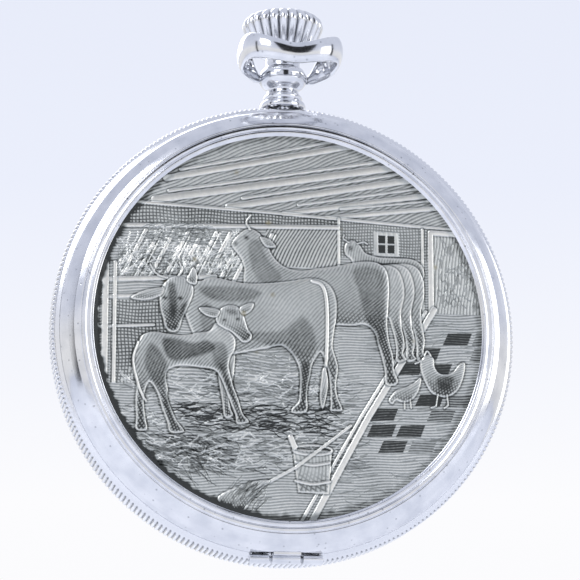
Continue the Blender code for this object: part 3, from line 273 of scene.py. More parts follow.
def piece(name, mesh, material, body, *stands_for):
    """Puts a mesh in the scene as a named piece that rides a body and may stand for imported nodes."""
    mesh.name = name
    mesh.materials.clear()
    mesh.materials.append(material)
    made = bpy.data.objects.new(name, mesh)
    bpy.context.scene.collection.objects.link(made)
    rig.ride(made, body)
    if stands_for:
        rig.replaces(made, *stands_for)
    return made


def bored(mesh, *drills):
    """The mesh with round holes cut by drill meshes, through a boolean whose result is kept."""
    body = bpy.data.objects.new("work", mesh)
    bpy.context.scene.collection.objects.link(body)
    tools = []
    for drill in drills:
        tool = bpy.data.objects.new("drill", drill)
        bpy.context.scene.collection.objects.link(tool)
        cut = body.modifiers.new("bore", "BOOLEAN")
        cut.operation, cut.object, cut.solver = "DIFFERENCE", tool, "EXACT"
        tools.append(tool)
    seen = body.evaluated_get(bpy.context.evaluated_depsgraph_get())
    result = bpy.data.meshes.new_from_object(seen)
    for tool in [body, *tools]:
        bpy.data.objects.remove(tool)
    result.set_sharp_from_angle(angle=math.radians(32))
    return result


# ---------------------------------------------------------------- finishes


def colour(text):
    """An sRGB hex value as linear red, green, blue and alpha."""
    parts = [int(text[k : k + 2], 16) / 255 for k in (1, 3, 5)]
    return [v / 12.92 if v <= 0.04045 else ((v + 0.055) / 1.055) ** 2.4 for v in parts] + [1.0]


def per(size):
    """A texture scale whose features repeat about every `size` millimetres."""
    return 1000.0 / size


def node(tree, kind, inputs=None, **settings):
    """Adds a node: settings are its own properties, and inputs are values or sockets to link from."""
    made = tree.nodes.new(kind)
    for key, value in settings.items():
        setattr(made, key, value)
    for key, value in (inputs or {}).items():
        if isinstance(value, bpy.types.NodeSocket):
            tree.links.new(value, made.inputs[key])
        else:
            made.inputs[key].default_value = value
    return made


def ramp(made, *stops):
    """Sets a colour ramp's stops from (position, hex)."""
    band = made.color_ramp
    while len(band.elements) < len(stops):
        band.elements.new(0.5)
    for element, (position, tint) in zip(band.elements, stops):
        element.position = position
        element.color = colour(tint)
    return made


def blank(name):
    """A new material with its tree, an output and the object's own coordinates."""
    made = bpy.data.materials.new(name)
    made.use_nodes = True
    tree = made.node_tree
    tree.nodes.clear()
    output = node(tree, "ShaderNodeOutputMaterial")
    place = node(tree, "ShaderNodeTexCoord").outputs["Object"]
    return made, tree, output, place


def close_up(tree, output, **sockets):
    """Ends a material in a principled shader with the given sockets."""
    inputs = {key.replace("_", " "): value for key, value in sockets.items()}
    shader = node(tree, "ShaderNodeBsdfPrincipled", inputs)
    tree.links.new(shader.outputs[0], output.inputs[0])
    return shader


def polished_silver(colours):
    # Sterling silver, buffed and long carried: a mirror softened by hairlines, pin pits and haze.
    made, tree, output, place = blank("buffed sterling silver")
    haze = node(tree, "ShaderNodeTexNoise", {"Vector": place, "Scale": per(2.4), "Detail": 4.0})
    pits = node(tree, "ShaderNodeTexVoronoi", {"Vector": place, "Scale": per(0.9)})
    pit = node(
        tree, "ShaderNodeMapRange", {"Value": pits.outputs["Distance"], "From Min": 0.0, "From Max": 0.16}
    )
    tone = ramp(
        node(tree, "ShaderNodeValToRGB", {"Fac": haze.outputs["Fac"]}),
        (0.35, colours.silver_dull),
        (0.6, colours.silver),
    )
    speck = node(
        tree,
        "ShaderNodeMix",
        {"Factor": pit.outputs["Result"], "A": colour("#8e9196"), "B": tone.outputs["Color"]},
        data_type="RGBA",
    )
    rough = node(tree, "ShaderNodeMapRange", {"Value": haze.outputs["Fac"], "To Min": 0.07, "To Max": 0.2})
    stretch = node(tree, "ShaderNodeMapping", {"Vector": place, "Scale": (1.0, 3.0, 12.0)})
    lines = node(tree, "ShaderNodeTexNoise", {"Vector": stretch.outputs[0], "Scale": per(2.0), "Detail": 6.0})
    scratch = node(
        tree,
        "ShaderNodeBump",
        {"Height": lines.outputs["Fac"], "Strength": 0.06, "Distance": 0.02 * MM},
    )
    dent = node(
        tree,
        "ShaderNodeBump",
        {
            "Height": pit.outputs["Result"],
            "Strength": 0.4,
            "Distance": 0.02 * MM,
            "Normal": scratch.outputs[0],
        },
    )
    close_up(
        tree,
        output,
        Base_Color=speck.outputs["Result"],
        Metallic=1.0,
        Roughness=rough.outputs["Result"],
        Normal=dent.outputs[0],
    )
    return made


def chased_silver(colours):
    # Chased and oxidised silver: worn pale on the high parts, grey to black where the cuts hold oxide, and dark in the
    # painted shadow of the rim that the same recess values carry.
    made, tree, output, place = blank("chased oxidised silver")
    cut = node(tree, "ShaderNodeAttribute", attribute_name="recess").outputs["Fac"]
    cloud = node(tree, "ShaderNodeTexNoise", {"Vector": place, "Scale": per(5.0), "Detail": 5.0})
    grain = node(tree, "ShaderNodeTexNoise", {"Vector": place, "Scale": per(0.35), "Detail": 3.0})
    drift = node(
        tree,
        "ShaderNodeMath",
        {0: cloud.outputs["Fac"], 1: 0.35, 2: cut},
        operation="MULTIPLY_ADD",
    )
    amount = node(
        tree,
        "ShaderNodeMath",
        {0: grain.outputs["Fac"], 1: 0.22, 2: drift.outputs[0]},
        operation="MULTIPLY_ADD",
    )
    tone = ramp(
        node(tree, "ShaderNodeValToRGB", {"Fac": amount.outputs[0]}),
        (0.2, colours.chased_high),
        (0.5, "#bcbfbd"),
        (0.8, "#868987"),
        (1.0, colours.chased_low),
    )
    warm = node(tree, "ShaderNodeTexVoronoi", {"Vector": place, "Scale": per(4.5), "Randomness": 1.0})
    stain = node(
        tree,
        "ShaderNodeMapRange",
        {"Value": warm.outputs["Distance"], "From Min": 0.03, "From Max": 0.09, "To Min": 0.6, "To Max": 0.0},
    )
    base = node(
        tree,
        "ShaderNodeMix",
        {"Factor": stain.outputs["Result"], "A": tone.outputs["Color"], "B": colour("#8d8465")},
        data_type="RGBA",
    )
    rough = node(tree, "ShaderNodeMapRange", {"Value": amount.outputs[0], "To Min": 0.2, "To Max": 0.55})
    tooth = node(
        tree,
        "ShaderNodeBump",
        {"Height": grain.outputs["Fac"], "Strength": 0.35, "Distance": 0.02 * MM},
    )
    close_up(
        tree,
        output,
        Base_Color=base.outputs["Result"],
        Metallic=0.85,
        Roughness=rough.outputs["Result"],
        Normal=tooth.outputs[0],
    )
    return made


def milled_silver(colours):
    # Coin-edged silver: pale on the milled ridges and coloured darker grey down into their notches.
    made, tree, output, place = blank("milled coin edge silver")
    cut = node(tree, "ShaderNodeAttribute", attribute_name="recess").outputs["Fac"]
    haze = node(tree, "ShaderNodeTexNoise", {"Vector": place, "Scale": per(1.8), "Detail": 4.0})
    tone = ramp(
        node(tree, "ShaderNodeValToRGB", {"Fac": cut}),
        (0.1, colours.silver),
        (0.6, "#9a9ca0"),
        (1.0, "#56585c"),
    )
    rough = node(tree, "ShaderNodeMapRange", {"Value": haze.outputs["Fac"], "To Min": 0.1, "To Max": 0.26})
    wear = node(
        tree, "ShaderNodeBump", {"Height": haze.outputs["Fac"], "Strength": 0.2, "Distance": 0.02 * MM}
    )
    close_up(
        tree,
        output,
        Base_Color=tone.outputs["Color"],
        Metallic=1.0,
        Roughness=rough.outputs["Result"],
        Normal=wear.outputs[0],
    )
    return made


def striped_nickel(colours):
    # Nickel silver plates, striped by a turning disc: soft bands that trade light and dark.
    made, tree, output, place = blank("damascened nickel silver")
    turn = node(tree, "ShaderNodeMapping", {"Vector": place, "Rotation": (0.0, math.radians(35), 0.0)})
    stripes = node(
        tree,
        "ShaderNodeTexWave",
        {"Vector": turn.outputs[0], "Scale": per(1.9) * math.tau / 20, "Distortion": 0.6, "Detail": 1.0},
        wave_profile="SAW",
    )
    grain = node(tree, "ShaderNodeTexNoise", {"Vector": place, "Scale": per(0.2), "Detail": 3.0})
    tone = ramp(
        node(tree, "ShaderNodeValToRGB", {"Fac": stripes.outputs["Fac"]}),
        (0.0, colours.nickel),
        (1.0, "#8f8d86"),
    )
    rough = node(tree, "ShaderNodeMapRange", {"Value": stripes.outputs["Fac"], "To Min": 0.2, "To Max": 0.42})
    fine = node(
        tree, "ShaderNodeBump", {"Height": grain.outputs["Fac"], "Strength": 0.15, "Distance": 0.01 * MM}
    )
    close_up(
        tree,
        output,
        Base_Color=tone.outputs["Color"],
        Metallic=1.0,
        Roughness=rough.outputs["Result"],
        Normal=fine.outputs[0],
    )
    return made


def grained(name, scale, detail, stops, rough=None, bump=None, stretch=None, **sockets):
    """A finish whose tone, roughness and fine relief all follow one noise, sized in millimetres."""
    made, tree, output, place = blank(name)
    if stretch:
        place = node(tree, "ShaderNodeMapping", {"Vector": place, "Scale": stretch}).outputs[0]
    grain = node(tree, "ShaderNodeTexNoise", {"Vector": place, "Scale": per(scale), "Detail": detail})
    grain = grain.outputs["Fac"]
    tone = ramp(node(tree, "ShaderNodeValToRGB", {"Fac": grain}), *stops)
    if rough:
        spread = node(tree, "ShaderNodeMapRange", {"Value": grain, "To Min": rough[0], "To Max": rough[1]})
        sockets["Roughness"] = spread.outputs["Result"]
    if bump:
        inputs = {"Height": grain, "Strength": bump[0], "Distance": bump[1] * MM}
        sockets["Normal"] = node(tree, "ShaderNodeBump", inputs).outputs[0]
    close_up(tree, output, Base_Color=tone.outputs["Color"], **sockets)
    return made


def gilt_brass(colours):
    # Fire-gilt brass with a frosted grain: warm yellow, soft in its shine.
    stops = (0.3, "#b08a3e"), (0.7, colours.gilt)
    return grained("frosted gilt brass", 0.25, 4.0, stops, (0.22, 0.4), (0.25, 0.01), Metallic=1.0)


def ground_steel(colours):
    # Hardened carbon steel, ground and stoned: cool grey with fine straight scratches.
    stops = (0.3, "#8b8e93"), (0.7, colours.steel)
    along = (1.0, 1.0, 9.0)
    return grained("ground carbon steel", 0.6, 5.0, stops, (0.16, 0.34), (0.2, 0.01), along, Metallic=1.0)


def blued_steel(colours):
    # Steel heated until it turns blue: a deep blue mirror that drifts towards violet.
    stops = (0.35, "#1b1f5e"), (0.65, colours.blued)
    return grained("heat blued steel", 3.0, 2.0, stops, (0.1, 0.22), Metallic=1.0)


def fired_enamel(colours):
    # Fired white enamel: glassy over a faintly uneven milky ground.
    stops = (0.3, "#e9e7df"), (0.7, colours.enamel)
    gloss = {"Roughness": 0.12, "Coat_Weight": 1.0, "Coat_Roughness": 0.04}
    return grained("fired white enamel", 6.0, 3.0, stops, bump=(0.1, 0.05), **gloss)


def painted_black(colours):
    # Black dial paint fired over enamel: dense, with a slight grain.
    stops = (0.3, colours.numerals), (0.8, "#26262a")
    return grained("fired black dial paint", 0.3, 2.0, stops, Roughness=0.3)


def watch_glass(colours):
    # Blown mineral glass: clear, with the faintest wipe marks in its gloss.
    made, tree, output, place = blank("domed mineral glass")
    wipe = node(tree, "ShaderNodeTexNoise", {"Vector": place, "Scale": per(4.0), "Detail": 3.0})
    rough = node(tree, "ShaderNodeMapRange", {"Value": wipe.outputs["Fac"], "To Min": 0.0, "To Max": 0.03})
    close_up(
        tree,
        output,
        Base_Color=colour(colours.glass),
        Roughness=rough.outputs["Result"],
        IOR=1.5,
        Transmission_Weight=1.0,
    )
    return made


def ruby_jewel(colours):
    # Synthetic corundum: a deep red stone, polished clear.
    stops = (0.3, "#8c0f2c"), (0.7, colours.ruby)
    return grained("synthetic ruby", 0.8, 2.0, stops, Roughness=0.06, IOR=1.77, Transmission_Weight=0.35)


def studio_floor(colours):
    # Matt studio card: off-white with the soft unevenness of paper.
    stops = (0.3, "#eceef2"), (0.7, colours.floor)
    return grained("matt studio card", 90.0, 3.0, stops, Roughness=0.9)


FINISHES = {}


def finish(name):
    """The material that a finish's function makes, made once."""
    if name not in FINISHES:
        FINISHES[name] = globals()[name](bpy.context.scene.watch_colours)
    return FINISHES[name]


# ---------------------------------------------------------------- chased picture


def fence(x, z, loop):
    """Distance from each point to a closed loop, positive inside it by the even-odd rule."""
    nearest, odd = np.full(x.shape, 1e9), np.zeros(x.shape, bool)
    for (ax, az), (bx, bz) in zip(loop, np.roll(loop, -1, axis=0)):
        dx, dz = bx - ax, bz - az
        share = np.clip(((x - ax) * dx + (z - az) * dz) / max(dx * dx + dz * dz, 1e-12), 0, 1)
        nearest = np.minimum(nearest, (x - ax - share * dx) ** 2 + (z - az - share * dz) ** 2)
        if dz:
            odd ^= ((az > z) != (bz > z)) & (x < ax + dx * (z - az) / dz)
    return np.where(odd, 1, -1) * np.sqrt(nearest)


def trail(x, z, line):
    """Distance from each point to the nearest run of an open line."""
    nearest = np.full(x.shape, 1e9)
    for (ax, az), (bx, bz) in zip(line[:-1], line[1:]):
        dx, dz = bx - ax, bz - az
        share = np.clip(((x - ax) * dx + (z - az) * dz) / max(dx * dx + dz * dz, 1e-12), 0, 1)
        nearest = np.minimum(nearest, (x - ax - share * dx) ** 2 + (z - az - share * dz) ** 2)
    return np.sqrt(nearest)


def eased(value, low, high):
    """0 below low, 1 above high, and a cubic with level ends between."""
    t = np.clip((value - low) / (high - low), 0, 1)
    return t * t * (3 - 2 * t)


def furrows(x, z, angle, pitch, sway=0.25):
    """Parallel graver cuts 0 to 1: a rounded V across lines at an angle, with a slow sway along them."""
    a = math.radians(angle)
    across, along = -x * math.sin(a) + z * math.cos(a), x * math.cos(a) + z * math.sin(a)
    t = across / pitch + sway * np.sin(along * 1.1 + across * 0.7)
    cut = 1 - np.abs(t - np.floor(t) - 0.5) * 2
    return np.clip(cut * 1.35 - 0.25, 0, 1)


class Picture:
    """A chased sheet: height in millimetres and darkness 0 to 1. Later shapes lie over earlier ones."""

    def __init__(self, x, z):
        self.x, self.z = x.ravel(), z.ravel()
        self.rise, self.dark = np.zeros(self.x.shape), np.full(self.x.shape, 0.15)

    def near(self, line, reach):
        low, high = np.min(line, axis=0) - reach, np.max(line, axis=0) + reach
        inside = (self.x > low[0]) & (self.x < high[0]) & (self.z > low[1]) & (self.z < high[1])
        return np.flatnonzero(inside)

    def panel(self, corners, level, cuts, depth=0.035, dark=0.55, ground=0.1):
        """A flat area with parallel cuts, crossed where more than one set is given."""
        spots = self.near(corners, 0.2)
        x, z = self.x[spots], self.z[spots]
        cover = eased(fence(x, z, np.array(corners, float)), -0.05, 0.05)
        cut = np.zeros(x.shape)
        for angle, pitch in cuts:
            cut = np.maximum(cut, furrows(x, z, angle, pitch))
        self.lay(spots, cover, level - depth * cut, ground + dark * cut)

    def lay(self, spots, cover, rise, dark):
        self.rise[spots] += (rise - self.rise[spots]) * cover
        self.dark[spots] += (dark - self.dark[spots]) * cover

    def figure(self, points, level, rise, reach, hatch, shade=0.35, loop=True):
        """A raised body: a quarter-round dome in an outline, with fur cuts and a dark surround."""
        edge = flowing(points, 6) if loop else np.array(points, float)
        spots = self.near(edge, 0.5)
        x, z = self.x[spots], self.z[spots]
        inside = fence(x, z, edge)
        self.rise[spots] -= 0.05 * np.exp(-((inside / 0.16) ** 2)) * (inside < 0.05)
        self.dark[spots] += (0.85 - self.dark[spots]) * 0.55 * np.exp(-(((inside + 0.09) / 0.1) ** 2))
        dome = rise * np.sqrt(1 - (1 - np.clip(inside / reach, 0, 1)) ** 2)
        low, high = edge[:, 1].min(), edge[:, 1].max()
        fall = 1 - (z - low) / max(high - low, 1e-6)
        angle, pitch = hatch
        bent = x + 0.5 * np.sin(0.55 * z + 0.3 * x)
        cut = furrows(bent, z, angle, pitch, 0.4)
        cross = furrows(x, z + 0.4 * np.sin(0.6 * x), angle + 68, pitch * 1.1, 0.35)
        cut = np.maximum(cut, cross * eased(fall, 0.35, 0.7))
        side = np.clip(1 - inside / (reach * 1.3), 0, 1)
        strength = np.clip(0.3 + 0.6 * fall * shade * 2 + 0.3 * side, 0, 1) * eased(inside, 0.06, 0.22)
        level_here = level + dome - 0.035 * cut * strength
        dark = 0.03 + (0.1 + shade * 0.45 * fall) * eased(inside, 0.04, 0.4) + 0.45 * cut * strength
        self.lay(spots, eased(inside, -0.04, 0.05), level_here, dark)

    def patch(self, points, amount):
        """A soft dark marking on whatever lies there."""
        edge = flowing(points, 5)
        spots = self.near(edge, 0.6)
        x, z = self.x[spots], self.z[spots]
        cover = eased(fence(x, z, edge), -0.22, 0.3) * amount
        cut = furrows(x, z, 38, 0.26, 0.3)
        self.dark[spots] += (0.75 + 0.25 * cut - self.dark[spots]) * cover
        self.rise[spots] -= 0.02 * cut * cover

    def bar(self, line, half, lift, dark=0.02, smooth=False):
        """A raised rib along a line: a rounded top with a dark cut down each side."""
        run = flowing(line, 6, False) if smooth else np.array(line, float)
        spots = self.near(run, half + 0.5)
        x, z = self.x[spots], self.z[spots]
        away = trail(x, z, run)
        self.dark[spots] += (0.8 - self.dark[spots]) * 0.5 * np.exp(-(((away - half - 0.08) / 0.08) ** 2))
        top = lift * np.sqrt(np.clip(1 - (away / (half * 1.3)) ** 2, 0, 1))
        self.lay(spots, eased(half - away, -0.04, 0.05), top, dark)

    def scores(self, starts, ends, bend, half, depth, dark):
        """Free strokes: each cut follows a parabola between its ends that bows sideways by `bend`."""
        t = np.linspace(0, 1, 6)[:, None]
        for start, end, sway in zip(starts, ends, bend):
            way = end - start
            line = start + way * t + np.array([-way[1], way[0]]) * (sway * 4 * t * (1 - t))
            spots = self.near(line, half * 3)
            if len(spots):
                near = np.exp(-((trail(self.x[spots], self.z[spots], line) / half) ** 2))
                self.rise[spots] -= depth * near
                self.dark[spots] += (dark - self.dark[spots]) * near * 0.8


def strokes(picture, rng, count, area, length, angle, spread, dark=0.75, depth=0.04):
    """Scattered cuts inside a box of (low x, high x, low z, high z), near one angle."""
    x = rng.uniform(area[0], area[1], count)
    z = rng.uniform(area[2], area[3], count)
    turn = np.radians(rng.normal(angle, spread, count))
    size = rng.uniform(0.5, 1.0, count) * length
    starts = np.stack([x, z], axis=-1)
    ends = starts + np.stack([np.cos(turn) * size, np.sin(turn) * size], axis=-1)
    picture.scores(starts, ends, rng.normal(0, 0.1, count), 0.055, depth, dark)


def building(picture, rng):
    """The room: boarded ceiling with beams, walls, window, rack with hay, rail, doorway and posts."""
    p = picture
    p.panel([(-22, 12.6), (22, 10.6), (22, 22), (-22, 22)], 0.0, [(24, 0.34)], dark=0.45)
    p.panel([(-22, 10.2), (5.4, 10.8), (5.4, 12.0), (-22, 13.2)], -0.02, [(0, 0.36), (90, 0.36)], dark=0.6)
    p.panel([(5.2, 7.4), (22, 7.0), (22, 11.0), (5.2, 12.0)], -0.02, [(0, 0.32), (90, 0.32)], dark=0.5)
    p.panel([(-22, -16), (5.2, -16), (5.2, 10.6), (-22, 10.2)], -0.03, [(2, 0.3)], dark=0.4)
    p.panel([(-2.6, 6.4), (5.2, 6.4), (5.2, 10.7), (-2.6, 10.6)], -0.02, [(62, 0.33)], dark=0.62)
    p.panel([(5.2, -8), (22, -8), (22, 7.6), (5.2, 7.6)], -0.02, [(3, 0.3)], dark=0.4)
    for low, high, half in (
        ((-13.3, 15.6), (8.5, 20.4), 0.34),
        ((-14.5, 13.2), (13.6, 18.2), 0.4),
        ((-6.6, 12.7), (15.4, 16.9), 0.36),
        ((-0.6, 12.2), (17.2, 15.2), 0.3),
        ((4.0, 11.9), (18.6, 13.8), 0.26),
    ):
        p.bar([low, high], half, 0.09)
        p.bar([(low[0] + 1.5, low[1] + 1.0), (high[0], high[1] + 0.9)], half * 0.4, 0.05)
    p.bar([(-19.5, 13.0), (-3, 12.3), (20, 11.0)], 0.16, 0.06)
    p.bar([(5.3, 11.8), (5.3, 6.8)], 0.14, 0.06)
    p.bar([(-21, 10.2), (5.2, 10.9)], 0.24, 0.1)
    for k, x in enumerate(np.arange(-18.0, -3.0, 1.5)):
        p.bar([(x, 4.6), (x + 2.6, 9.8)], 0.2, 0.07)
        if k % 2:
            p.bar([(x + 0.5, 4.6), (x + 3.0, 9.8)], 0.08, 0.05)
    strokes(p, rng, 220, (-18.5, -6.0, 4.4, 7.2), 1.3, 50, 38, dark=0.6)
    strokes(p, rng, 200, (-18.5, -5.0, 4.6, 9.4), 1.6, 70, 40, dark=0.0, depth=-0.04)
    strokes(p, rng, 110, (-16.0, -9.0, 8.6, 10.8), 1.7, 10, 30, dark=0.55)
    p.bar([(-20.5, 4.3), (-8, 5.0)], 0.26, 0.1)
    p.panel([(-19, -12), (-13, -12), (-13, 2.2), (-19, 2.2)], -0.03, [(0, 0.36), (90, 0.36)], dark=0.6)
    p.bar([(-20.6, 2.4), (-14.5, 2.8)], 0.2, 0.08)
    p.bar([(-20.5, -0.8), (-14.5, -0.4)], 0.16, 0.07)
    for x, half in ((-19.6, 0.34), (-18.6, 0.2), (-20.5, 0.24)):
        p.bar([(x, -12), (x, 6.2)], half, 0.1)
    p.panel([(9.1, 7.9), (11.8, 7.9), (11.8, 10.6), (9.1, 10.6)], 0.02, [(90, 0.5)], dark=0.1)
    for x in (9.6, 10.6):
        for z in (8.3, 9.35):
            p.panel(
                [(x, z), (x + 0.75, z), (x + 0.75, z + 0.85), (x, z + 0.85)],
                -0.06,
                [(0, 0.3)],
                ground=0.75,
            )
    p.panel([(15.6, 1.6), (22, 1.6), (22, 10.4), (15.6, 10.4)], -0.03, [(84, 0.34)], dark=0.4)
    strokes(p, rng, 120, (16.2, 20.5, 2.2, 9.8), 1.3, 80, 24, dark=0.55)
    p.bar([(15.3, 1.7), (15.3, 10.7), (19, 10.6)], 0.3, 0.12)
    p.bar([(14.4, 1.9), (14.4, 11.0)], 0.14, 0.07)


def floor_of_stable(picture, rng):
    """The floor: straw, paving with bricks, gutter plank and scattered cuts."""
    p = picture
    p.panel(
        [(-22, -22), (22, -22), (22, 1.8), (10.5, 1.8), (7.5, -6.2), (-22, -6.8)],
        0.0,
        [(3, 0.3)],
        dark=0.42,
    )
    p.panel([(-14, -8), (0, -8), (0, -3), (-14, -3)], 0.0, [(-4, 0.34)], dark=0.4)
    strokes(p, rng, 620, (-18, 7, -15.5, -6.2), 2.4, 2, 13, dark=0.62)
    strokes(p, rng, 150, (-15.5, -6.5, -16.0, -12.0), 2.8, -14, 22, dark=0.66, depth=0.05)
    strokes(p, rng, 190, (-10, 3, -7.6, -3.0), 1.6, 4, 20, dark=0.55)
    strokes(p, rng, 200, (3, 20, -20, 1.0), 2.6, 2, 5, dark=0.55)
    strokes(p, rng, 420, (-18, 6, -15.5, -5.0), 1.5, 3, 20, dark=0.0, depth=-0.04)
    strokes(p, rng, 160, (-13, 4, -11.5, -8.6), 2.2, 4, 10, dark=0.85, depth=0.05)
    rows = [(-1.6, 13.4), (-3.3, 12.2), (-5.0, 11.2), (-8.3, 9.4), (-10.0, 8.4), (-11.7, 7.3), (-13.4, 6.3)]
    for k, (z, left) in enumerate(rows):
        for n in range(3):
            x = left + n * 3.1 + 0.9 * (k % 2)
            if (k + n * 2) % 3:
                block = [(x, z), (x + 2.7, z + 0.1), (x + 3.2, z + 1.4), (x + 0.6, z + 1.3)]
                p.panel(block, -0.01, [(2, 0.28)], ground=0.62 if n < 2 else 0.36, dark=0.34)
    p.bar([(15.6, 2.2), (8.4, -9.6), (2.3, -20.9)], 0.34, 0.12)
    p.bar([(14.7, 2.0), (7.5, -9.8), (1.2, -20.9)], 0.16, 0.08)


def herd(picture):
    """The animals: a row of hindquarters, a cow with its head up, a cow and a calf, each a plain outline."""
    p = picture
    far = [(5.9, 8.6), (6.2, 9.3), (6.9, 9.5), (7.6, 9.0), (8.2, 8.2), (9.6, 7.8), (11.5, 7.75), (13.2, 7.7)]
    far += [(14.3, 7.0), (14.4, 5.6), (12.0, 4.6), (8.0, 5.0), (7.0, 6.6), (6.6, 7.5), (6.1, 7.9)]
    p.figure(far, 0.0, 0.06, 0.8, (60, 0.28), 0.5)
    p.bar([(6.4, 9.3), (5.8, 9.7), (5.9, 10.1)], 0.06, 0.07, smooth=True)
    p.bar([(7.3, 9.2), (8.0, 9.4), (8.4, 9.2)], 0.07, 0.07, smooth=True)
    p.patch([(6.3, 8.9), (6.8, 8.9), (6.8, 8.4), (6.4, 8.4)], 0.6)
    for shift, top in ((4.1, 6.9), (3.0, 6.8), (1.9, 6.7)):
        x = 9.4 + shift
        shape = [(x - 6, top - 0.4), (x - 2.6, top + 0.1), (x - 0.9, top + 0.25), (x + 0.3, top - 0.2)]
        shape += [(x + 0.9, top - 1.4), (x + 1.05, top - 3.0), (x + 0.7, top - 4.8), (x + 0.75, top - 6.4)]
        shape += [(x + 1.05, top - 8.0), (x + 0.9, top - 9.4), (x + 1.2, top - 10.0), (x + 0.2, top - 10.2)]
        shape += [(x + 0.15, top - 8.6), (x - 0.3, top - 6.6), (x - 1.2, top - 5.2), (x - 6, top - 4.4)]
        p.figure(shape, 0.0, 0.08, 1.1, (52, 0.3), 0.55)
    raised = [(-6.2, 8.4), (-6.1, 9.0), (-5.5, 9.7), (-4.7, 10.3), (-3.9, 10.3), (-3.0, 9.6), (-2.4, 8.6)]
    raised += [(-1.9, 7.6), (-1.2, 6.8), (-0.2, 6.2), (1.4, 6.0), (3.0, 6.3), (4.8, 6.6), (6.6, 7.0)]
    raised += [(8.4, 7.25)]
    raised += [(9.8, 7.0), (10.5, 6.1), (10.7, 4.4), (10.6, 2.4), (10.5, 0.4), (10.7, -1.4), (11.1, -3.0)]
    raised += [(11.2, -4.6), (11.6, -5.6), (11.2, -6.1), (10.3, -6.0), (10.2, -4.6), (9.9, -3.2), (9.5, -1.8)]
    raised += [(9.1, -0.4), (8.0, 0.4), (6.4, 0.2), (3.0, 0.4), (-1.0, 1.0), (-4.0, 2.2), (-4.9, 4.2)]
    raised += [(-4.9, 6.0), (-5.3, 7.2)]
    p.figure(raised, 0.02, 0.13, 1.6, (50, 0.31), 0.6)
    p.bar([(-4.3, 10.3), (-4.7, 11.1), (-4.2, 11.9)], 0.09, 0.1, smooth=True)
    p.figure([(-3.2, 9.5), (-2.2, 9.3), (-1.5, 8.5), (-2.6, 8.5)], 0.08, 0.07, 0.3, (30, 0.24), 0.3)
    p.patch([(-4.9, 9.6), (-4.4, 9.5), (-4.5, 9.1), (-4.9, 9.2)], 0.8)
    p.patch([(-6.0, 8.9), (-5.7, 8.9), (-5.7, 8.5), (-6.0, 8.5)], 0.7)
    p.patch([(-4.6, 8.4), (-3.4, 9.2), (-2.4, 7.2), (-0.8, 5.0), (-3.4, 4.6)], 0.35)
    p.patch([(6.8, 6.4), (9.8, 6.4), (10.2, 3.6), (9.8, -2.0), (8.2, 0.8), (7.4, 3.8)], 0.35)
    leg = [(-7.9, -2.6), (-6.0, -2.6), (-5.9, -5.0), (-6.2, -7.0), (-5.9, -8.4), (-6.1, -8.9), (-6.9, -8.9)]
    p.figure(leg + [(-7.0, -7.0), (-7.4, -4.8)], 0.02, 0.08, 0.5, (80, 0.26), 0.5)
    cow = [(-10.9, 4.3), (-9.6, 4.5), (-8.2, 4.9), (-6.2, 4.6), (-4.2, 4.35), (-2.0, 4.5), (0.2, 4.8)]
    cow += [(2.0, 5.15)]
    cow += [(3.4, 5.0), (4.4, 4.3), (4.95, 3.0), (5.0, 1.2), (4.75, -0.6), (4.6, -2.2), (5.0, -3.6)]
    cow += [(5.15, -4.6)]
    cow += [(4.95, -6.2), (5.1, -7.6), (5.55, -8.6), (5.5, -9.0), (4.4, -9.0), (4.35, -8.2), (4.3, -6.6)]
    cow += [(4.1, -5.0), (3.7, -3.6), (3.3, -2.8), (2.8, -3.4), (2.35, -4.3), (2.2, -5.2), (1.9, -6.6)]
    cow += [(1.85, -7.9), (1.9, -8.8), (1.6, -9.3), (0.3, -9.4), (0.25, -8.9), (0.9, -8.2), (1.05, -7.0)]
    cow += [(1.1, -5.6), (1.0, -4.6), (0.6, -3.6), (0.0, -2.8), (-0.9, -2.2), (-2.4, -2.5), (-4.2, -2.9)]
    cow += [(-6.2, -3.3), (-7.9, -3.3), (-9.2, -2.8), (-10.2, -1.4), (-10.9, 0.2), (-11.4, 1.8)]
    p.figure(cow, 0.03, 0.16, 2.2, (42, 0.32), 0.55)
    p.patch([(-9.6, 3.8), (-5.0, 4.0), (-3.0, 3.4), (-4.6, 2.4), (-8.2, 2.4)], 0.4)
    p.patch([(-6.0, -1.0), (-1.0, -0.6), (1.4, 1.0), (2.8, -1.6), (1.4, -3.6), (-2.6, -2.2)], 0.3)
    p.patch([(1.2, -4.0), (2.2, -4.4), (1.8, -7.6), (1.2, -7.4)], 0.4)
    p.patch([(-9.6, 1.6), (-8.4, 1.8), (-8.0, -1.6), (-9.2, -2.0)], 0.3)
    p.bar([(2.4, 4.9), (3.4, 4.5), (3.9, 3.0), (4.0, 0.0), (3.9, -3.4), (3.7, -5.0)], 0.17, 0.2, smooth=True)
    tassel = [(3.5, -4.6), (3.9, -4.7), (4.1, -6.2), (3.8, -8.0), (3.5, -8.9), (3.2, -7.8), (3.3, -6.0)]
    p.figure(tassel, 0.06, 0.08, 0.35, (85, 0.2), 0.5)
    head = [(-11.2, 4.7), (-12.0, 4.9), (-12.9, 4.6), (-13.6, 3.8), (-13.9, 2.7), (-13.8, 1.4), (-13.5, 0.3)]
    head += [(-13.3, -0.5), (-12.8, -1.1), (-12.1, -1.1), (-11.7, -0.6), (-11.4, 0.4), (-10.9, 1.6)]
    head += [(-10.4, 2.8), (-10.4, 3.9)]
    p.figure(head, 0.08, 0.14, 1.0, (72, 0.26), 0.55)
    p.patch([(-13.0, 4.0), (-12.2, 4.0), (-12.0, 1.6), (-12.3, 0.2), (-12.8, 0.4), (-13.0, 2.0)], 0.55)
    for x, z, size in ((-13.35, 2.5, 0.26), (-11.7, 2.5, 0.26), (-12.9, -0.6, 0.16), (-12.2, -0.6, 0.16)):
        p.patch([(x - size, z), (x, z + size * 0.7), (x + size, z), (x, z - size * 0.7)], 0.95)
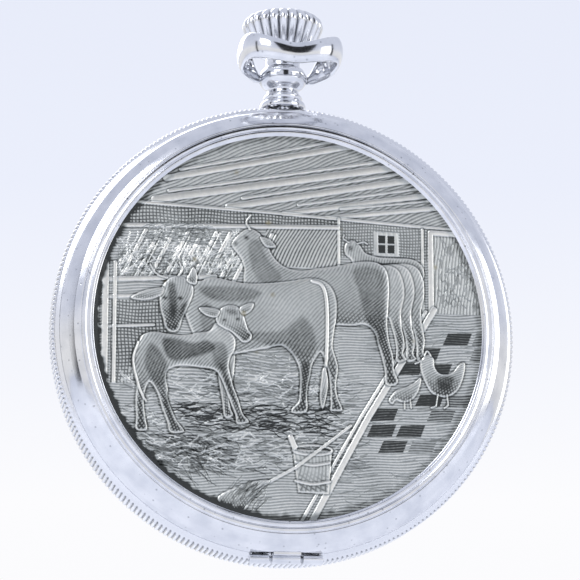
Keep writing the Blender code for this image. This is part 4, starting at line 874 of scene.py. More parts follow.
    p.patch([(-11.6, 1.6), (-10.9, 2.2), (-11.2, 0.8), (-11.6, 0.2)], 0.5)
    ear = [(-13.5, 3.6), (-14.6, 3.5), (-15.9, 3.1), (-16.9, 2.4), (-15.8, 2.2), (-14.5, 2.4), (-13.6, 2.9)]
    p.figure(ear, 0.06, 0.08, 0.4, (20, 0.24), 0.5)
    p.figure(
        [(-11.0, 4.4), (-10.8, 5.2), (-10.3, 6.0), (-9.9, 5.0), (-10.1, 4.1)],
        0.08,
        0.08,
        0.35,
        (70, 0.24),
        0.5,
    )
    p.bar([(-13.1, 4.7), (-14.2, 5.1), (-14.9, 6.1)], 0.1, 0.12, smooth=True)
    p.bar([(-11.9, 5.0), (-11.5, 5.6), (-11.8, 6.4)], 0.1, 0.12, smooth=True)
    fore = [(-7.7, -4.6), (-6.8, -4.8), (-6.6, -7.0), (-6.3, -9.0), (-6.0, -9.8), (-6.9, -10.0), (-7.2, -8.2)]
    p.figure(fore, 0.04, 0.08, 0.4, (80, 0.24), 0.6)
    calf = [(-16.1, -2.4), (-15.6, -1.5), (-14.4, -1.15), (-12.8, -1.35), (-11.2, -1.4), (-9.8, -1.15)]
    calf += [(-8.6, -0.9), (-7.8, 0.0), (-6.8, -0.6), (-5.9, -1.6), (-5.9, -2.8), (-6.4, -3.8), (-6.5, -4.8)]
    calf += [(-6.2, -6.0), (-5.9, -7.0), (-5.4, -8.3), (-5.0, -9.6), (-4.4, -10.3), (-4.5, -10.6)]
    calf += [(-5.6, -10.7)]
    calf += [(-5.8, -9.8), (-6.4, -8.2), (-6.9, -6.9), (-7.5, -5.6), (-8.2, -5.0), (-9.8, -4.8)]
    calf += [(-11.6, -4.7)]
    calf += [(-12.9, -5.2), (-13.1, -6.2), (-12.9, -7.2), (-12.9, -8.2), (-12.4, -9.6), (-11.9, -10.6)]
    calf += [(-11.2, -11.5), (-11.4, -11.8), (-12.6, -11.8), (-13.0, -10.6), (-13.6, -9.0), (-13.9, -8.0)]
    calf += [(-14.4, -7.0), (-14.9, -6.6), (-15.3, -7.6), (-15.4, -8.8), (-15.2, -10.4), (-15.0, -11.4)]
    calf += [(-15.2, -11.7), (-16.2, -11.6), (-16.2, -10.2), (-16.3, -8.6), (-16.2, -7.0), (-16.3, -5.6)]
    calf += [(-16.7, -4.2), (-16.5, -3.2)]
    p.figure(calf, 0.08, 0.16, 1.3, (50, 0.29), 0.65)
    saddle = [(-13.6, -2.0), (-12.0, -1.8), (-10.4, -2.2), (-8.8, -1.9), (-8.0, -2.8), (-9.4, -3.6)]
    p.patch(saddle + [(-12.6, -4.2)], 0.62)
    p.patch([(-14.8, -2.4), (-13.2, -4.0), (-13.0, -6.2), (-14.0, -7.0), (-15.4, -4.8)], 0.42)
    p.patch([(-8.4, -2.2), (-6.8, -2.4), (-6.8, -5.0), (-8.0, -4.6)], 0.4)
    p.patch([(-12.9, -7.4), (-13.3, -8.8), (-12.2, -11.0), (-12.6, -9.0)], 0.5)
    p.patch([(-7.4, -4.4), (-6.8, -6.6), (-5.6, -9.0), (-6.4, -6.4)], 0.5)
    young = [(-7.9, 0.6), (-7.4, 1.5), (-6.6, 1.9), (-5.7, 1.8), (-5.1, 1.2), (-4.8, 0.3), (-4.5, -0.6)]
    young += [(-4.1, -1.2), (-4.3, -1.8), (-5.0, -2.0), (-5.6, -1.5), (-6.3, -0.9), (-7.1, -0.5)]
    young += [(-7.7, -0.1)]
    p.figure(young, 0.14, 0.12, 0.8, (75, 0.25), 0.5)
    p.patch([(-6.9, 1.5), (-5.9, 1.5), (-5.6, 0.9), (-6.5, 0.9)], 0.5)
    for x, z, size in ((-5.6, 0.45, 0.22), (-7.0, 0.3, 0.18), (-4.45, -1.2, 0.17), (-4.8, -1.65, 0.14)):
        p.patch([(x - size, z), (x, z + size * 0.7), (x + size, z), (x, z - size * 0.7)], 0.95)
    p.figure(
        [(-7.5, 1.3), (-8.6, 1.6), (-9.7, 1.5), (-9.0, 0.8), (-7.9, 0.6)],
        0.14,
        0.07,
        0.3,
        (20, 0.22),
        0.5,
    )
    p.figure(
        [(-5.4, 1.6), (-4.7, 2.1), (-3.9, 2.2), (-4.2, 1.4), (-5.0, 1.0)],
        0.14,
        0.07,
        0.3,
        (20, 0.22),
        0.5,
    )
    p.bar([(-16.1, -2.3), (-16.6, -4.4), (-15.9, -7.2), (-15.2, -8.6)], 0.12, 0.2, smooth=True)


def tools_and_hen(picture, rng):
    """The small things: a stave bucket, a broom, and a hen on the paving."""
    p = picture
    p.figure(
        [(0.3, -13.2), (4.5, -13.3), (4.1, -17.9), (0.9, -17.8)],
        0.02,
        0.12,
        1.3,
        (88, 0.42),
        0.3,
        loop=False,
    )
    ring = np.stack(
        [2.4 + 2.1 * np.cos(np.linspace(0, 6.2, 20)), -13.3 + 0.5 * np.sin(np.linspace(0, 6.2, 20))], 1
    )
    p.bar(ring, 0.12, 0.16)
    for z in (-14.6, -16.6):
        p.bar([(0.6, z), (2.4, z - 0.3), (4.2, z)], 0.14, 0.16, smooth=True)
    p.bar([(0.5, -13.0), (0.1, -12.0)], 0.3, 0.14)
    p.bar([(6.5, -10.6), (0.6, -15.2), (-2.6, -17.0)], 0.16, 0.12)
    p.figure(
        [(-2.2, -16.6), (-3.2, -17.7), (-5.4, -20.2), (-7.6, -18.6), (-4.6, -17.0)],
        0.0,
        0.1,
        0.9,
        (48, 0.24),
        0.5,
    )
    strokes(p, rng, 60, (-6.6, -3.4, -19.8, -17.4), 1.8, 42, 7, dark=0.65, depth=0.04)
    hen = [(14.0, -4.0), (14.3, -3.1), (14.9, -2.7), (15.5, -3.1), (15.6, -4.0), (16.2, -4.7), (17.4, -4.6)]
    hen += [(18.3, -3.6), (18.9, -3.5), (18.7, -5.0), (18.0, -6.5), (16.8, -7.2), (15.4, -6.9), (14.6, -5.8)]
    p.figure(hen, 0.02, 0.12, 0.9, (30, 0.26), 0.4)
    p.bar([(14.1, -3.4), (13.5, -3.7)], 0.08, 0.07)
    p.bar([(14.5, -2.8), (14.8, -2.3), (15.2, -2.8)], 0.08, 0.07, smooth=True)
    p.patch([(15.8, -5.2), (17.6, -5.0), (17.2, -6.4), (16.0, -6.4)], 0.45)
    p.bar([(15.9, -7.0), (15.7, -8.2), (15.2, -8.4)], 0.08, 0.08)
    p.bar([(16.9, -7.0), (17.0, -8.1), (16.6, -8.4)], 0.08, 0.08)
    feeding = [(10.9, -7.2), (11.5, -6.6), (12.4, -6.3), (13.3, -5.8), (14.1, -5.2), (13.9, -6.4)]
    feeding += [(13.2, -7.5)]
    feeding += [(12.2, -7.9), (11.4, -7.7), (11.0, -8.1), (10.6, -7.8)]
    p.figure(feeding, 0.0, 0.08, 0.6, (30, 0.26), 0.4)
    p.bar([(12.3, -7.8), (12.3, -8.6)], 0.07, 0.07)
    p.bar([(12.9, -7.6), (13.0, -8.5)], 0.07, 0.07)


def chased_field(radius, count):
    """The picture over a square grid drawn into a disc: x = u root(1 - v v / 2), z = v root(1 - u u / 2)."""
    side = np.linspace(-1, 1, count)
    u, v = np.meshgrid(side, side, indexing="xy")
    x = radius * u * np.sqrt(1 - v**2 / 2)
    z = radius * v * np.sqrt(1 - u**2 / 2)
    picture, rng = Picture(x, z), np.random.default_rng(7)
    building(picture, rng)
    floor_of_stable(picture, rng)
    herd(picture)
    tools_and_hen(picture, rng)
    out = np.hypot(x, z).ravel()
    turn = np.arctan2(z, x).ravel()
    rim = eased(out, radius - 0.55, radius - 0.1)
    picture.rise = picture.rise * (1 - rim) - 0.03 * rim
    # Painted shadow of the rim on the field: a ragged dark band round its edge, heaviest towards the lower left, with
    # some oxide in the edge as well.
    ragged = 0.22 * np.sin(turn * 23) * np.sin(turn * 57 + 1) + 0.1 * np.sin(turn * 131)
    shadow = eased(out, radius - 0.95 + ragged, radius - 0.35 + ragged * 0.3)
    sooty = 0.25 + 0.75 * np.clip(np.cos(turn - math.radians(205)), 0, 1) ** 1.2
    picture.dark = np.clip(picture.dark + (1.1 - picture.dark) * shadow * sooty, 0, 1.1)
    return x, z, picture.rise.reshape(x.shape), picture.dark.reshape(x.shape)


def strip(name, x, z, rise, dark, floor):
    """One closed band of the chased field: its relief above, a flat floor below, and walls round the edge."""
    rows, columns = x.shape
    top = placed(x, -rise, z).reshape(-1, 3)
    loop = np.concatenate(
        [
            np.arange(columns),
            np.arange(1, rows) * columns + columns - 1,
            (rows - 1) * columns + np.arange(columns - 2, -1, -1),
            np.arange(rows - 2, 0, -1) * columns,
        ]
    )
    below = top[loop].copy()
    below[:, 1] = (floor - MIDDLE) * MM
    first = len(top)
    low = first + np.arange(len(loop))
    walls = np.stack([loop, np.roll(loop, -1), np.roll(low, -1), low], axis=-1)
    faces = [grid_faces(rows, columns, False, False), walls, low[None]]
    points = np.concatenate([top, below])
    marks = {"recess": np.concatenate([dark.ravel(), np.full(len(loop), 0.5)])}
    return as_mesh(name, points, faces, 60.0, marks)


# ---------------------------------------------------------------- case


def held_back(angle, radius, depth, half, plane, low, high):
    """Radius cut off at a level plane below the case, within half a width and between two depths."""
    sine = np.sin(angle)
    limit = plane / np.maximum(-sine, 1e-3)
    near = (np.abs(limit * np.cos(angle)) < half) & (sine < -0.5)
    return np.where(near & (depth > low) & (depth < high), np.minimum(radius, limit), radius)


def ring(name, profile, angle, cut, marks=None):
    """A closed profile carried round the case's axis, its radius changed by angle and depth."""
    radius, depth = profile[:, :1] + 0 * angle[None], profile[:, 1:] + 0 * angle[None]
    radius = cut(angle[None], radius, depth)
    points = placed(radius * np.cos(angle), depth, radius * np.sin(angle))
    return skin(name, points, row_wrap=True, sharp=38.0, marks=marks)


def band_mesh(notches):
    """The band: a turned profile whose notches are cosine dips that fade out at its shoulders."""
    outer = [(21.6, 2.65), (24.0, 2.65), (24.65, 2.9), (25.0, 3.35)]
    face = [(25.0, d) for d in (3.6, 4.4, 5.6, 6.4)]
    rest = [(25.0, 6.65), (24.65, 7.1), (24.0, 7.35), (21.6, 7.35), (21.6, 7.0), (20.5, 7.0)]
    rest += [(20.5, 6.65), (21.6, 6.65)]
    profile = softened(outer + face + rest, 0.12, 3)
    angle = np.linspace(0, 2 * np.pi, notches * 6, endpoint=False)
    tooth = ((0.5 + 0.5 * np.cos(notches * angle)) ** 2.2)[None]
    depth = profile[:, 1:]
    fade = eased(depth, 2.95, 3.3) * (1 - eased(depth, 6.7, 7.05)) * (profile[:, :1] > 24.2)

    def cut(turn, radius, deep):
        return held_back(turn, radius - 0.17 * fade * tooth, deep, 3.5, 23.88, 1.0, 3.245)

    return ring("coin_edge_band", profile, angle, cut, {"recess": 0.05 + 0.9 * fade * tooth})


def tube_along(name, low, high, outer, bore, depth, height, count=40):
    """A short hinge tube across the case: a ring-shaped profile carried round an axis along x."""
    profile = softened([(outer, low), (outer, high), (bore, high), (bore, low)], 0.05, 4)
    return turned(name, profile, "across", count, centre=(depth, height))


def leaf_mesh(name, half, outline):
    """A hinge leaf: a softened outline of (depth, height) drawn along x, drawn in slightly at both ends."""
    edge = softened(outline, 0.08, 4)
    middle = edge.mean(axis=0)
    rows = []
    for x, size in ((-half, 0.86), (-half + 0.06, 1.0), (half - 0.06, 1.0), (half, 0.86)):
        shape = middle + (edge - middle) * size
        rows.append(placed(np.full(len(shape), x), shape[:, 0], shape[:, 1]))
    return skin(name, np.array(rows), sharp=40.0)


def rim_mesh():
    """The back's rim: an inner lip, a fine groove, then a broad curve down to the parting line."""
    corners = [(20.5, 0.1), (20.85, 0.02), (21.08, -0.19), (21.3, -0.2), (21.5, -0.1), (21.66, -0.2)]
    corners += [(21.95, -0.2)]
    corners += [(22.08, 0.04), (22.2, 0.0), (22.8, 0.26), (23.4, 0.78), (23.88, 1.42), (24.12, 2.0)]
    corners += [(24.2, 2.35)]
    corners += [(24.2, 2.6), (23.5, 2.6), (23.5, 2.2), (22.3, 0.75), (21.8, 0.6), (20.5, 0.6)]
    return softened(corners, [0.05] * 11 + [0.2] * 3 + [0.06] * 6, 5)


def pendant_mesh():
    """The neck: beads and ball turned about the stem's axis, bored for the stem and the bow."""
    foot = CASE_RADIUS + 0.05
    beads = flowing(
        [
            (2.3, foot),
            (2.5, foot + 0.22),
            (2.48, foot + 0.62),
            (2.3, foot + 0.9),
            (1.98, foot + 0.97),
            (2.06, foot + 1.14),
            (2.14, foot + 1.36),
            (2.02, foot + 1.62),
            (1.86, foot + 1.72),
            (1.76, foot + 1.95),
            (1.76, foot + 2.3),
            (2.26, PIVOT_HEIGHT - 0.92),
            (2.56, PIVOT_HEIGHT - 0.42),
            (2.6, PIVOT_HEIGHT),
            (2.56, PIVOT_HEIGHT + 0.42),
            (2.26, PIVOT_HEIGHT + 0.95),
            (1.9, PIVOT_HEIGHT + 1.3),
            (1.86, PIVOT_HEIGHT + 2.44),
        ],
        6,
        closed=False,
    )
    rest = [(1.75, PIVOT_HEIGHT + 2.5), (0.95, PIVOT_HEIGHT + 2.5), (0.9, 31.1), (0.9, 22.2), (1.5, 22.2)]
    rest += [(1.5, foot)]
    profile = np.concatenate([beads, rest])
    neck = turned("pendant_neck", profile, "height", 96, centre=(0.0, MIDDLE), sharp=40.0)
    drills = []
    for side in (-1, 1):
        ends = sorted((side * 1.12, side * 3.6))
        cutter = softened([(0.55, ends[0]), (0.55, ends[1])], 0.01, 2, closed=False)
        drills.append(turned("drill", cutter, "across", 24, closed=False, centre=(MIDDLE, PIVOT_HEIGHT)))
    return bored(neck, *drills)


def bow_mesh():
    """The bow: an ellipse carried along an oval whose sides stand out of its plane."""
    reach = 2.85
    left = [(-1.3, 0, 0, 0.5, 0.5), (-2.2, 0, 0, 0.5, 0.5), (-reach, 0, 0, 0.5, 0.5)]
    left += [(-reach - 0.35, 0.4, 0.1, 0.5, 0.7)]
    turn = np.radians(-46 + 272 * np.arange(17) / 16)
    lean, up = np.cos(turn), np.sin(turn)
    across = -BOW_HALF_WIDTH * np.abs(lean) ** BOW_SQUARED * np.sign(lean)
    rise = BOW_RISE + BOW_HALF_HEIGHT * np.abs(up) ** BOW_SQUARED * np.sign(up)
    side = np.abs(lean)
    oval = np.stack([across, rise, BOW_ARCH * side, np.full(17, 0.5), 1.15 + 0.35 * side], axis=-1)
    right = [(-x, *rest) for x, *rest in reversed(left)]
    path = flowing(np.concatenate([left, oval, right]), 7, closed=False)
    run = np.gradient(path[:, :2], axis=0)
    run /= np.linalg.norm(run, axis=1, keepdims=True)
    around = np.linspace(0, 2 * np.pi, 36, endpoint=False)[None, :]
    a = path[:, 3:4] * np.cos(around) * (1 + 0.06 * np.cos(2 * around))
    b = path[:, 4:5] * np.sin(around)
    x = path[:, :1] - run[:, 1:2] * a
    upright = path[:, 1:2] + run[:, :1] * a
    out = path[:, 2:3] + b
    return skin("bow_strap", placed(x, MIDDLE - upright, PIVOT_HEIGHT + out), sharp=50.0)


def crown_mesh(radius, height, flutes):
    """The crown: a turned cup whose radius dips by a rectified sine between its flutes."""
    low = CROWN_FOOT
    shape = flowing(
        [
            (0.62, 0.0, 0.0),
            (0.67, 0.035, 0.1),
            (0.72, 0.1, 0.3),
            (0.82, 0.26, 0.4),
            (0.91, 0.43, 0.46),
            (0.985, 0.6, 0.48),
            (1.0, 0.68, 0.46),
            (0.975, 0.78, 0.4),
            (0.9, 0.87, 0.34),
            (0.78, 0.935, 0.26),
            (0.64, 0.972, 0.12),
            (0.48, 0.99, 0.02),
            (0.3, 1.0, 0.0),
            (0.04, 1.0, 0.0),
        ],
        6,
        closed=False,
    )
    under = np.array([(0.02, 1.9), (0.62, 1.9), (0.66, 1.8), (0.66, 0.06), (0.72, 0.0), (0.6 * radius, 0.0)])
    bore = np.stack([under[:, 0], low + under[:, 1], 0 * under[:, 0]], axis=-1)
    skirt = np.stack([shape[:, 0] * radius, low + height * np.clip(shape[:, 1], 0, 1), shape[:, 2]], axis=-1)
    profile = np.concatenate([bore, skirt])
    angle = np.linspace(0, 2 * np.pi, flutes * 14, endpoint=False)[None, :]
    dip = 1 - np.abs(np.sin(flutes * angle / 2)) ** 0.7
    spread = profile[:, :1] - np.clip(profile[:, 2:], 0, None) * dip
    points = placed(spread * np.cos(angle), MIDDLE + spread * np.sin(angle), profile[:, 1:2] + 0 * angle)
    marks = {"recess": np.clip(profile[:, 2:] * 1.6, 0, 1) * dip * 0.8}
    return skin("crown_cup", points, sharp=50.0, marks=marks)


# ---------------------------------------------------------------- dial


def numeral_mesh(size, radius):
    """The hour figures: letters made into a mesh, stood upright on the dial's face and joined in one."""
    joined = bmesh.new()
    for hour in range(1, 13):
        if hour == 6:
            continue
        curve = bpy.data.curves.new("figure", "FONT")
        curve.body = str(hour)
        curve.size, curve.extrude = size * MM, 0.02 * MM
        curve.align_x, curve.align_y = "CENTER", "CENTER"
        curve.resolution_u = 4
        made = bpy.data.objects.new("figure", curve)
        bpy.context.scene.collection.objects.link(made)
        seen = made.evaluated_get(bpy.context.evaluated_depsgraph_get())
        mesh = bpy.data.meshes.new_from_object(seen)
        bpy.data.objects.remove(made)
        turn = math.radians(hour * 30)
        spot = Vector(placed(-math.sin(turn) * radius, 8.01, math.cos(turn) * radius).tolist())
        stand = Matrix(((-1, 0, 0), (0, 0, 1), (0, 1, 0))).to_4x4()
        mesh.transform(Matrix.Translation(spot) @ stand)
        joined.from_mesh(mesh)
        bpy.data.meshes.remove(mesh)
    bmesh.ops.remove_doubles(joined, verts=joined.verts, dist=1e-7)
    bmesh.ops.recalc_face_normals(joined, faces=joined.faces)
    result = bpy.data.meshes.new("figures")
    joined.to_mesh(result)
    joined.free()
    return result


def tick_mesh(name, centre, radius, length, width, count, skip=0):
    """A ring of marks: bars whose length points to the ring's centre, spaced evenly round it."""
    number = np.arange(count)
    if skip:
        number = number[number % skip != 0]
    turn = 2 * np.pi * number / count
    spots = np.stack([centre[0] + radius * np.sin(turn), centre[1] + radius * np.cos(turn)], axis=-1)
    return bars(name, (-width / 2, INK[0], 0.0), (width / 2, INK[1], length), spots, -turn)


def ring_line(name, centre, radius, width):
    """A painted circle: a thin square profile carried round a dial centre."""
    near, far = INK
    profile = np.array([(radius, near), (radius + width, near), (radius + width, far), (radius, far)])
    return turned(name, profile, "depth", 180, centre=centre)


# ---------------------------------------------------------------- settings and operators


class WatchSizes(bpy.types.PropertyGroup):
    notches: bpy.props.IntProperty(
        name="Edge notches", description="Milled notches round the band", default=290, min=60, max=400
    )
    flutes: bpy.props.IntProperty(
        name="Crown flutes", description="Flutes round the crown", default=24, min=8, max=48
    )
    crown_radius: bpy.props.FloatProperty(
        name="Crown radius", description="Crown radius in millimetres", default=4.43, min=3.0, max=6.0
    )
    crown_height: bpy.props.FloatProperty(
        name="Crown height", description="Crown height in millimetres", default=4.6, min=3.0, max=6.0
    )
    field_points: bpy.props.IntProperty(
        name="Field points", description="Points across the chased field", default=727, min=121, max=760
    )
    figure_size: bpy.props.FloatProperty(
        name="Figure size",
        description="Height of the dial's figures in millimetres",
        default=4.2,
        min=2.0,
        max=6.0,
    )
    floor_drop: bpy.props.FloatProperty(
        name="Floor drop",
        description="Floor's distance below the case",
        default=0.075,
        subtype="DISTANCE",
        unit="LENGTH",
    )


class WatchColours(bpy.types.PropertyGroup):
    silver: bpy.props.StringProperty(
        name="Silver", description="Polished silver, sRGB hex", default="#dfe0e3"
    )
    silver_dull: bpy.props.StringProperty(
        name="Dull silver", description="Hazed silver, sRGB hex", default="#cfd1d6"
    )
    chased_high: bpy.props.StringProperty(
        name="Chased high", description="Worn relief, sRGB hex", default="#e8e6df"
    )
    chased_low: bpy.props.StringProperty(
        name="Chased low", description="Oxide in cuts, sRGB hex", default="#3b3d3c"
    )
    nickel: bpy.props.StringProperty(
        name="Nickel", description="Movement plates, sRGB hex", default="#d8d5cc"
    )
    gilt: bpy.props.StringProperty(name="Gilt", description="Wheels, sRGB hex", default="#e2bd66")
    steel: bpy.props.StringProperty(name="Steel", description="Steel work, sRGB hex", default="#c3c6cb")
    blued: bpy.props.StringProperty(
        name="Blued steel", description="Hands and hairspring, sRGB hex", default="#24349c"
    )
    enamel: bpy.props.StringProperty(name="Enamel", description="Dial ground, sRGB hex", default="#f6f4ed")
    numerals: bpy.props.StringProperty(name="Figures", description="Dial paint, sRGB hex", default="#121214")
    glass: bpy.props.StringProperty(name="Glass", description="Crystal tint, sRGB hex", default="#fbfdfc")
    ruby: bpy.props.StringProperty(name="Ruby", description="Jewels, sRGB hex", default="#c21e45")
    floor: bpy.props.StringProperty(name="Floor", description="Studio card, sRGB hex", default="#f7f8fb")


class BuildBand(bpy.types.Operator):
    """Coin-edged band with the fixed hinge tubes."""

    bl_idname = "watch.band"
    bl_label = "Case band"

    def execute(self, context):
        band = band_mesh(context.scene.watch_sizes.notches)
        hole = softened([(1.6, 20.0), (1.6, 26.0)], 0.01, 2, closed=False)
        band = bored(band, turned("drill", hole, "height", 64, closed=False, centre=(0.0, MIDDLE)))
        piece("coin_edge_band", band, finish("milled_silver"), "case", "case_band")
        for name, low, high in (("left", -3.9, -1.8), ("right", 1.8, 3.9)):
            tube = tube_along(f"hinge_tube_{name}", low, high, *HINGE_TUBE, HINGE_DEPTH, HINGE_HEIGHT)
            piece(f"hinge_tube_{name}", tube, finish("polished_silver"), "case")
            tube = tube_along(
                f"inner_tube_{name}", low, high, *INNER_HINGE_TUBE, HINGE_DEPTH, INNER_HINGE_HEIGHT
            )
            piece(f"inner_tube_{name}", tube, finish("polished_silver"), "case")
        return {"FINISHED"}


class BuildBack(bpy.types.Operator):
    """Hinged back: turned rim, hinge knuckle and leaf, and the chased field in bands."""

    bl_idname = "watch.back"
    bl_label = "Chased back"

    def execute(self, context):
        angle = np.linspace(0, 2 * np.pi, 900, endpoint=False)

        def cut(turn, radius, depth):
            return held_back(turn, radius, depth, 4.1, 23.88, 1.6, 9.0)

        rim = ring("back_rim", rim_mesh(), angle, cut)
        piece("back_rim", rim, finish("polished_silver"), "back_cover", "back_cover")
        span = (-KNUCKLE_HALF, KNUCKLE_HALF)
        tube = tube_along("back_knuckle", *span, *HINGE_TUBE, HINGE_DEPTH, HINGE_HEIGHT)
        piece("back_knuckle", tube, finish("polished_silver"), "back_cover")
        outline = [(1.45, -24.2), (1.45, -23.65), (2.5, -23.65), (2.5, -24.2)]
        leaf = leaf_mesh("back_leaf", KNUCKLE_HALF, outline)
        piece("back_leaf", leaf, finish("polished_silver"), "back_cover")
        count = context.scene.watch_sizes.field_points
        x, z, rise, dark = chased_field(FIELD_RADIUS, count)
        cuts = np.linspace(0, count - 1, STRIPS + 1).astype(int)
        for k, (a, b) in enumerate(zip(cuts[:-1], cuts[1:])):
            rows = slice(a, b + 1)
            band = strip("chased_field", x[rows], z[rows], rise[rows], dark[rows], 0.55)
            piece(f"chased_field_{k + 1}", band, finish("chased_silver"), "back_cover")
        return {"FINISHED"}


class BuildInnerCover(bpy.types.Operator):
    """Plain polished dust cover with its hinge knuckle."""

    bl_idname = "watch.dust_cover"
    bl_label = "Dust cover"

    def execute(self, context):
        rim = [(21.0, 1.1), (22.4, 2.2), (22.4, 2.6), (21.95, 2.6), (21.95, 2.3), (20.8, 1.5)]
        profile = np.concatenate([[(0.02, 1.1)], softened(rim, 0.08, 5), [(0.02, 1.5)]])
        disc = turned("inner_cover", profile, "depth", 300, closed=False)
        piece("inner_cover", disc, finish("polished_silver"), "dust_cover", "dust_cover")
        span = (-KNUCKLE_HALF, KNUCKLE_HALF)
        tube = tube_along("inner_knuckle", *span, *INNER_HINGE_TUBE, HINGE_DEPTH, INNER_HINGE_HEIGHT)
        piece("inner_knuckle", tube, finish("polished_silver"), "dust_cover")
        return {"FINISHED"}


class BuildFront(bpy.types.Operator):
    """Front bezel and the domed crystal."""

    bl_idname = "watch.front"
    bl_label = "Bezel and crystal"

    def execute(self, context):
        corners = [(23.9, 7.4), (24.2, 7.7), (24.05, 8.1), (23.7, 8.5), (23.2, 8.98), (22.6, 9.4)]
        corners += [(22.1, 9.6)]
        corners += [(21.6, 9.7), (20.75, 9.55), (20.75, 8.65), (20.2, 8.65), (20.2, 8.3), (21.6, 7.8)]
        corners += [(21.8, 7.4)]
        bezel = turned("front_bezel", softened(corners, 0.15, 5), "depth", 360)
        piece("front_bezel", bezel, finish("polished_silver"), "case", "bezel")
        share = np.linspace(0.001, 0.9995, 40)
        outer = np.stack([20.7 * share, 9.6 + 1.6 * np.sqrt(1 - share**2)], axis=-1)
        inner = np.stack([19.8 * share, 9.35 + 0.95 * np.sqrt(1 - share**2)], axis=-1)[::-1]
        profile = np.concatenate([outer, [(20.7, 8.75), (20.65, 8.7), (20.05, 8.7), (20.0, 8.75)], inner])
        glass = turned("domed_crystal", profile, "depth", 240, closed=False)
        piece("domed_crystal", glass, finish("watch_glass"), "case", "crystal")
        return {"FINISHED"}


class BuildNeck(bpy.types.Operator):
    """Pendant neck, bow and fluted crown."""

    bl_idname = "watch.neck"
    bl_label = "Pendant, bow and crown"

    def execute(self, context):
        sizes = context.scene.watch_sizes
        piece("pendant_neck", pendant_mesh(), finish("polished_silver"), "case", "pendant")
        piece("bow_strap", bow_mesh(), finish("polished_silver"), "bow", "bow")
        crown = crown_mesh(sizes.crown_radius, sizes.crown_height, sizes.flutes)
        piece("crown_cup", crown, finish("milled_silver"), "crown", "crown")
        return {"FINISHED"}


class BuildDial(bpy.types.Operator):
    """Enamel dial with its figures, minute track and seconds ring."""

    bl_idname = "watch.dial"
    bl_label = "Dial"

    def execute(self, context):
        outline = [(1.1, 7.6), (20.2, 7.6), (20.2, 7.9), (20.05, 8.0), (1.1, 8.0)]
        plate = turned("enamel_dial", softened(outline, 0.05, 3), "depth", 240)
        drill = softened([(0.35, 7.0), (0.35, 9.0)], 0.01, 2, closed=False)
        plate = bored(plate, turned("drill", drill, "depth", 32, closed=False, centre=FOURTH))
        piece("enamel_dial", plate, finish("fired_enamel"), "case", "dial")
        ink = finish("painted_black")
        size = context.scene.watch_sizes.figure_size
        piece("dial_figures", numeral_mesh(size, 14.9), ink, "case")
        piece("minute_ticks", tick_mesh("ticks", (0, 0), 18.0, 1.0, 0.12, 60, 5), ink, "case")
        piece("hour_ticks", tick_mesh("ticks", (0, 0), 17.9, 1.2, 0.4, 12), ink, "case")
        piece("track_inner", ring_line("track", (0, 0), 17.9, 0.1), ink, "case")
        piece("track_outer", ring_line("track", (0, 0), 19.05, 0.1), ink, "case")
        piece("seconds_ticks", tick_mesh("ticks", FOURTH, 4.5, 0.6, 0.08, 60, 5), ink, "case")
        piece("seconds_tens", tick_mesh("ticks", FOURTH, 4.3, 0.8, 0.18, 12), ink, "case")
        piece("seconds_ring", ring_line("track", FOURTH, 5.1, 0.09), ink, "case")
        return {"FINISHED"}


class BuildJewels(bpy.types.Operator):
    """Ruby bearings in gilt settings on the train bridge."""

    bl_idname = "watch.jewels"
    bl_label = "Jewels"

    def execute(self, context):
        for name, centre in (("third", THIRD), ("fourth", FOURTH), ("escape", ESCAPE)):
            collar = softened([(0.75, 2.88), (1.15, 2.88), (1.1, 2.76), (0.82, 2.76)], 0.03, 4)
            piece(
                f"setting_{name}",
                turned("setting", collar, "depth", 64, centre=centre),
                finish("gilt_brass"),
                "case",
            )
            stone = [(0.78, 2.87), (0.76, 2.79), (0.6, 2.74), (0.42, 2.77), (0.32, 2.84), (0.32, 2.9)]
            bead = flowing(stone + [(0.6, 2.9)], 5)
            piece(
                f"jewel_{name}",
                turned("jewel", bead, "depth", 48, centre=centre),
                finish("ruby_jewel"),
                "case",
            )
        return {"FINISHED"}


NODE_FINISHES = {
    "striped_nickel": "mainplate barrel_bridge train_bridge balance_cock pallet_bridge",
    "gilt_brass": "centre_wheel third_wheel fourth_wheel balance_wheel mainspring_barrel barrel_lid "
    "minute_wheel hour_wheel",
    "blued_steel": "hairspring hour_hand minute_hand seconds_hand barrel_bridge_screw_1 "
    "barrel_bridge_screw_2 barrel_bridge_screw_3 train_bridge_screw_1 train_bridge_screw_2 "
    "balance_cock_screw pallet_bridge_screw",
    "ground_steel": "balance_staff barrel_arbor cannon_pinion centre_pinion click click_spring "
    "crown_wheel crown_wheel_screw case_screw_1 case_screw_2 escape_pinion escape_wheel fourth_pinion "
    "mainspring pallet_arbor pallet_fork ratchet_screw ratchet_wheel regulator stem third_pinion "
    "winding_pinion back_hinge_pin dust_hinge_pin",
}


class FinishMovement(bpy.types.Operator):
    """Plates, wheels, springs, screws and hands in their own metals."""

    bl_idname = "watch.movement"
    bl_label = "Movement finishes"

    def execute(self, context):
        for kind, names in NODE_FINISHES.items():
            for name in names.split():
                for slot in frame["nodes"][name].material_slots:
                    slot.material = finish(kind)
        return {"FINISHED"}


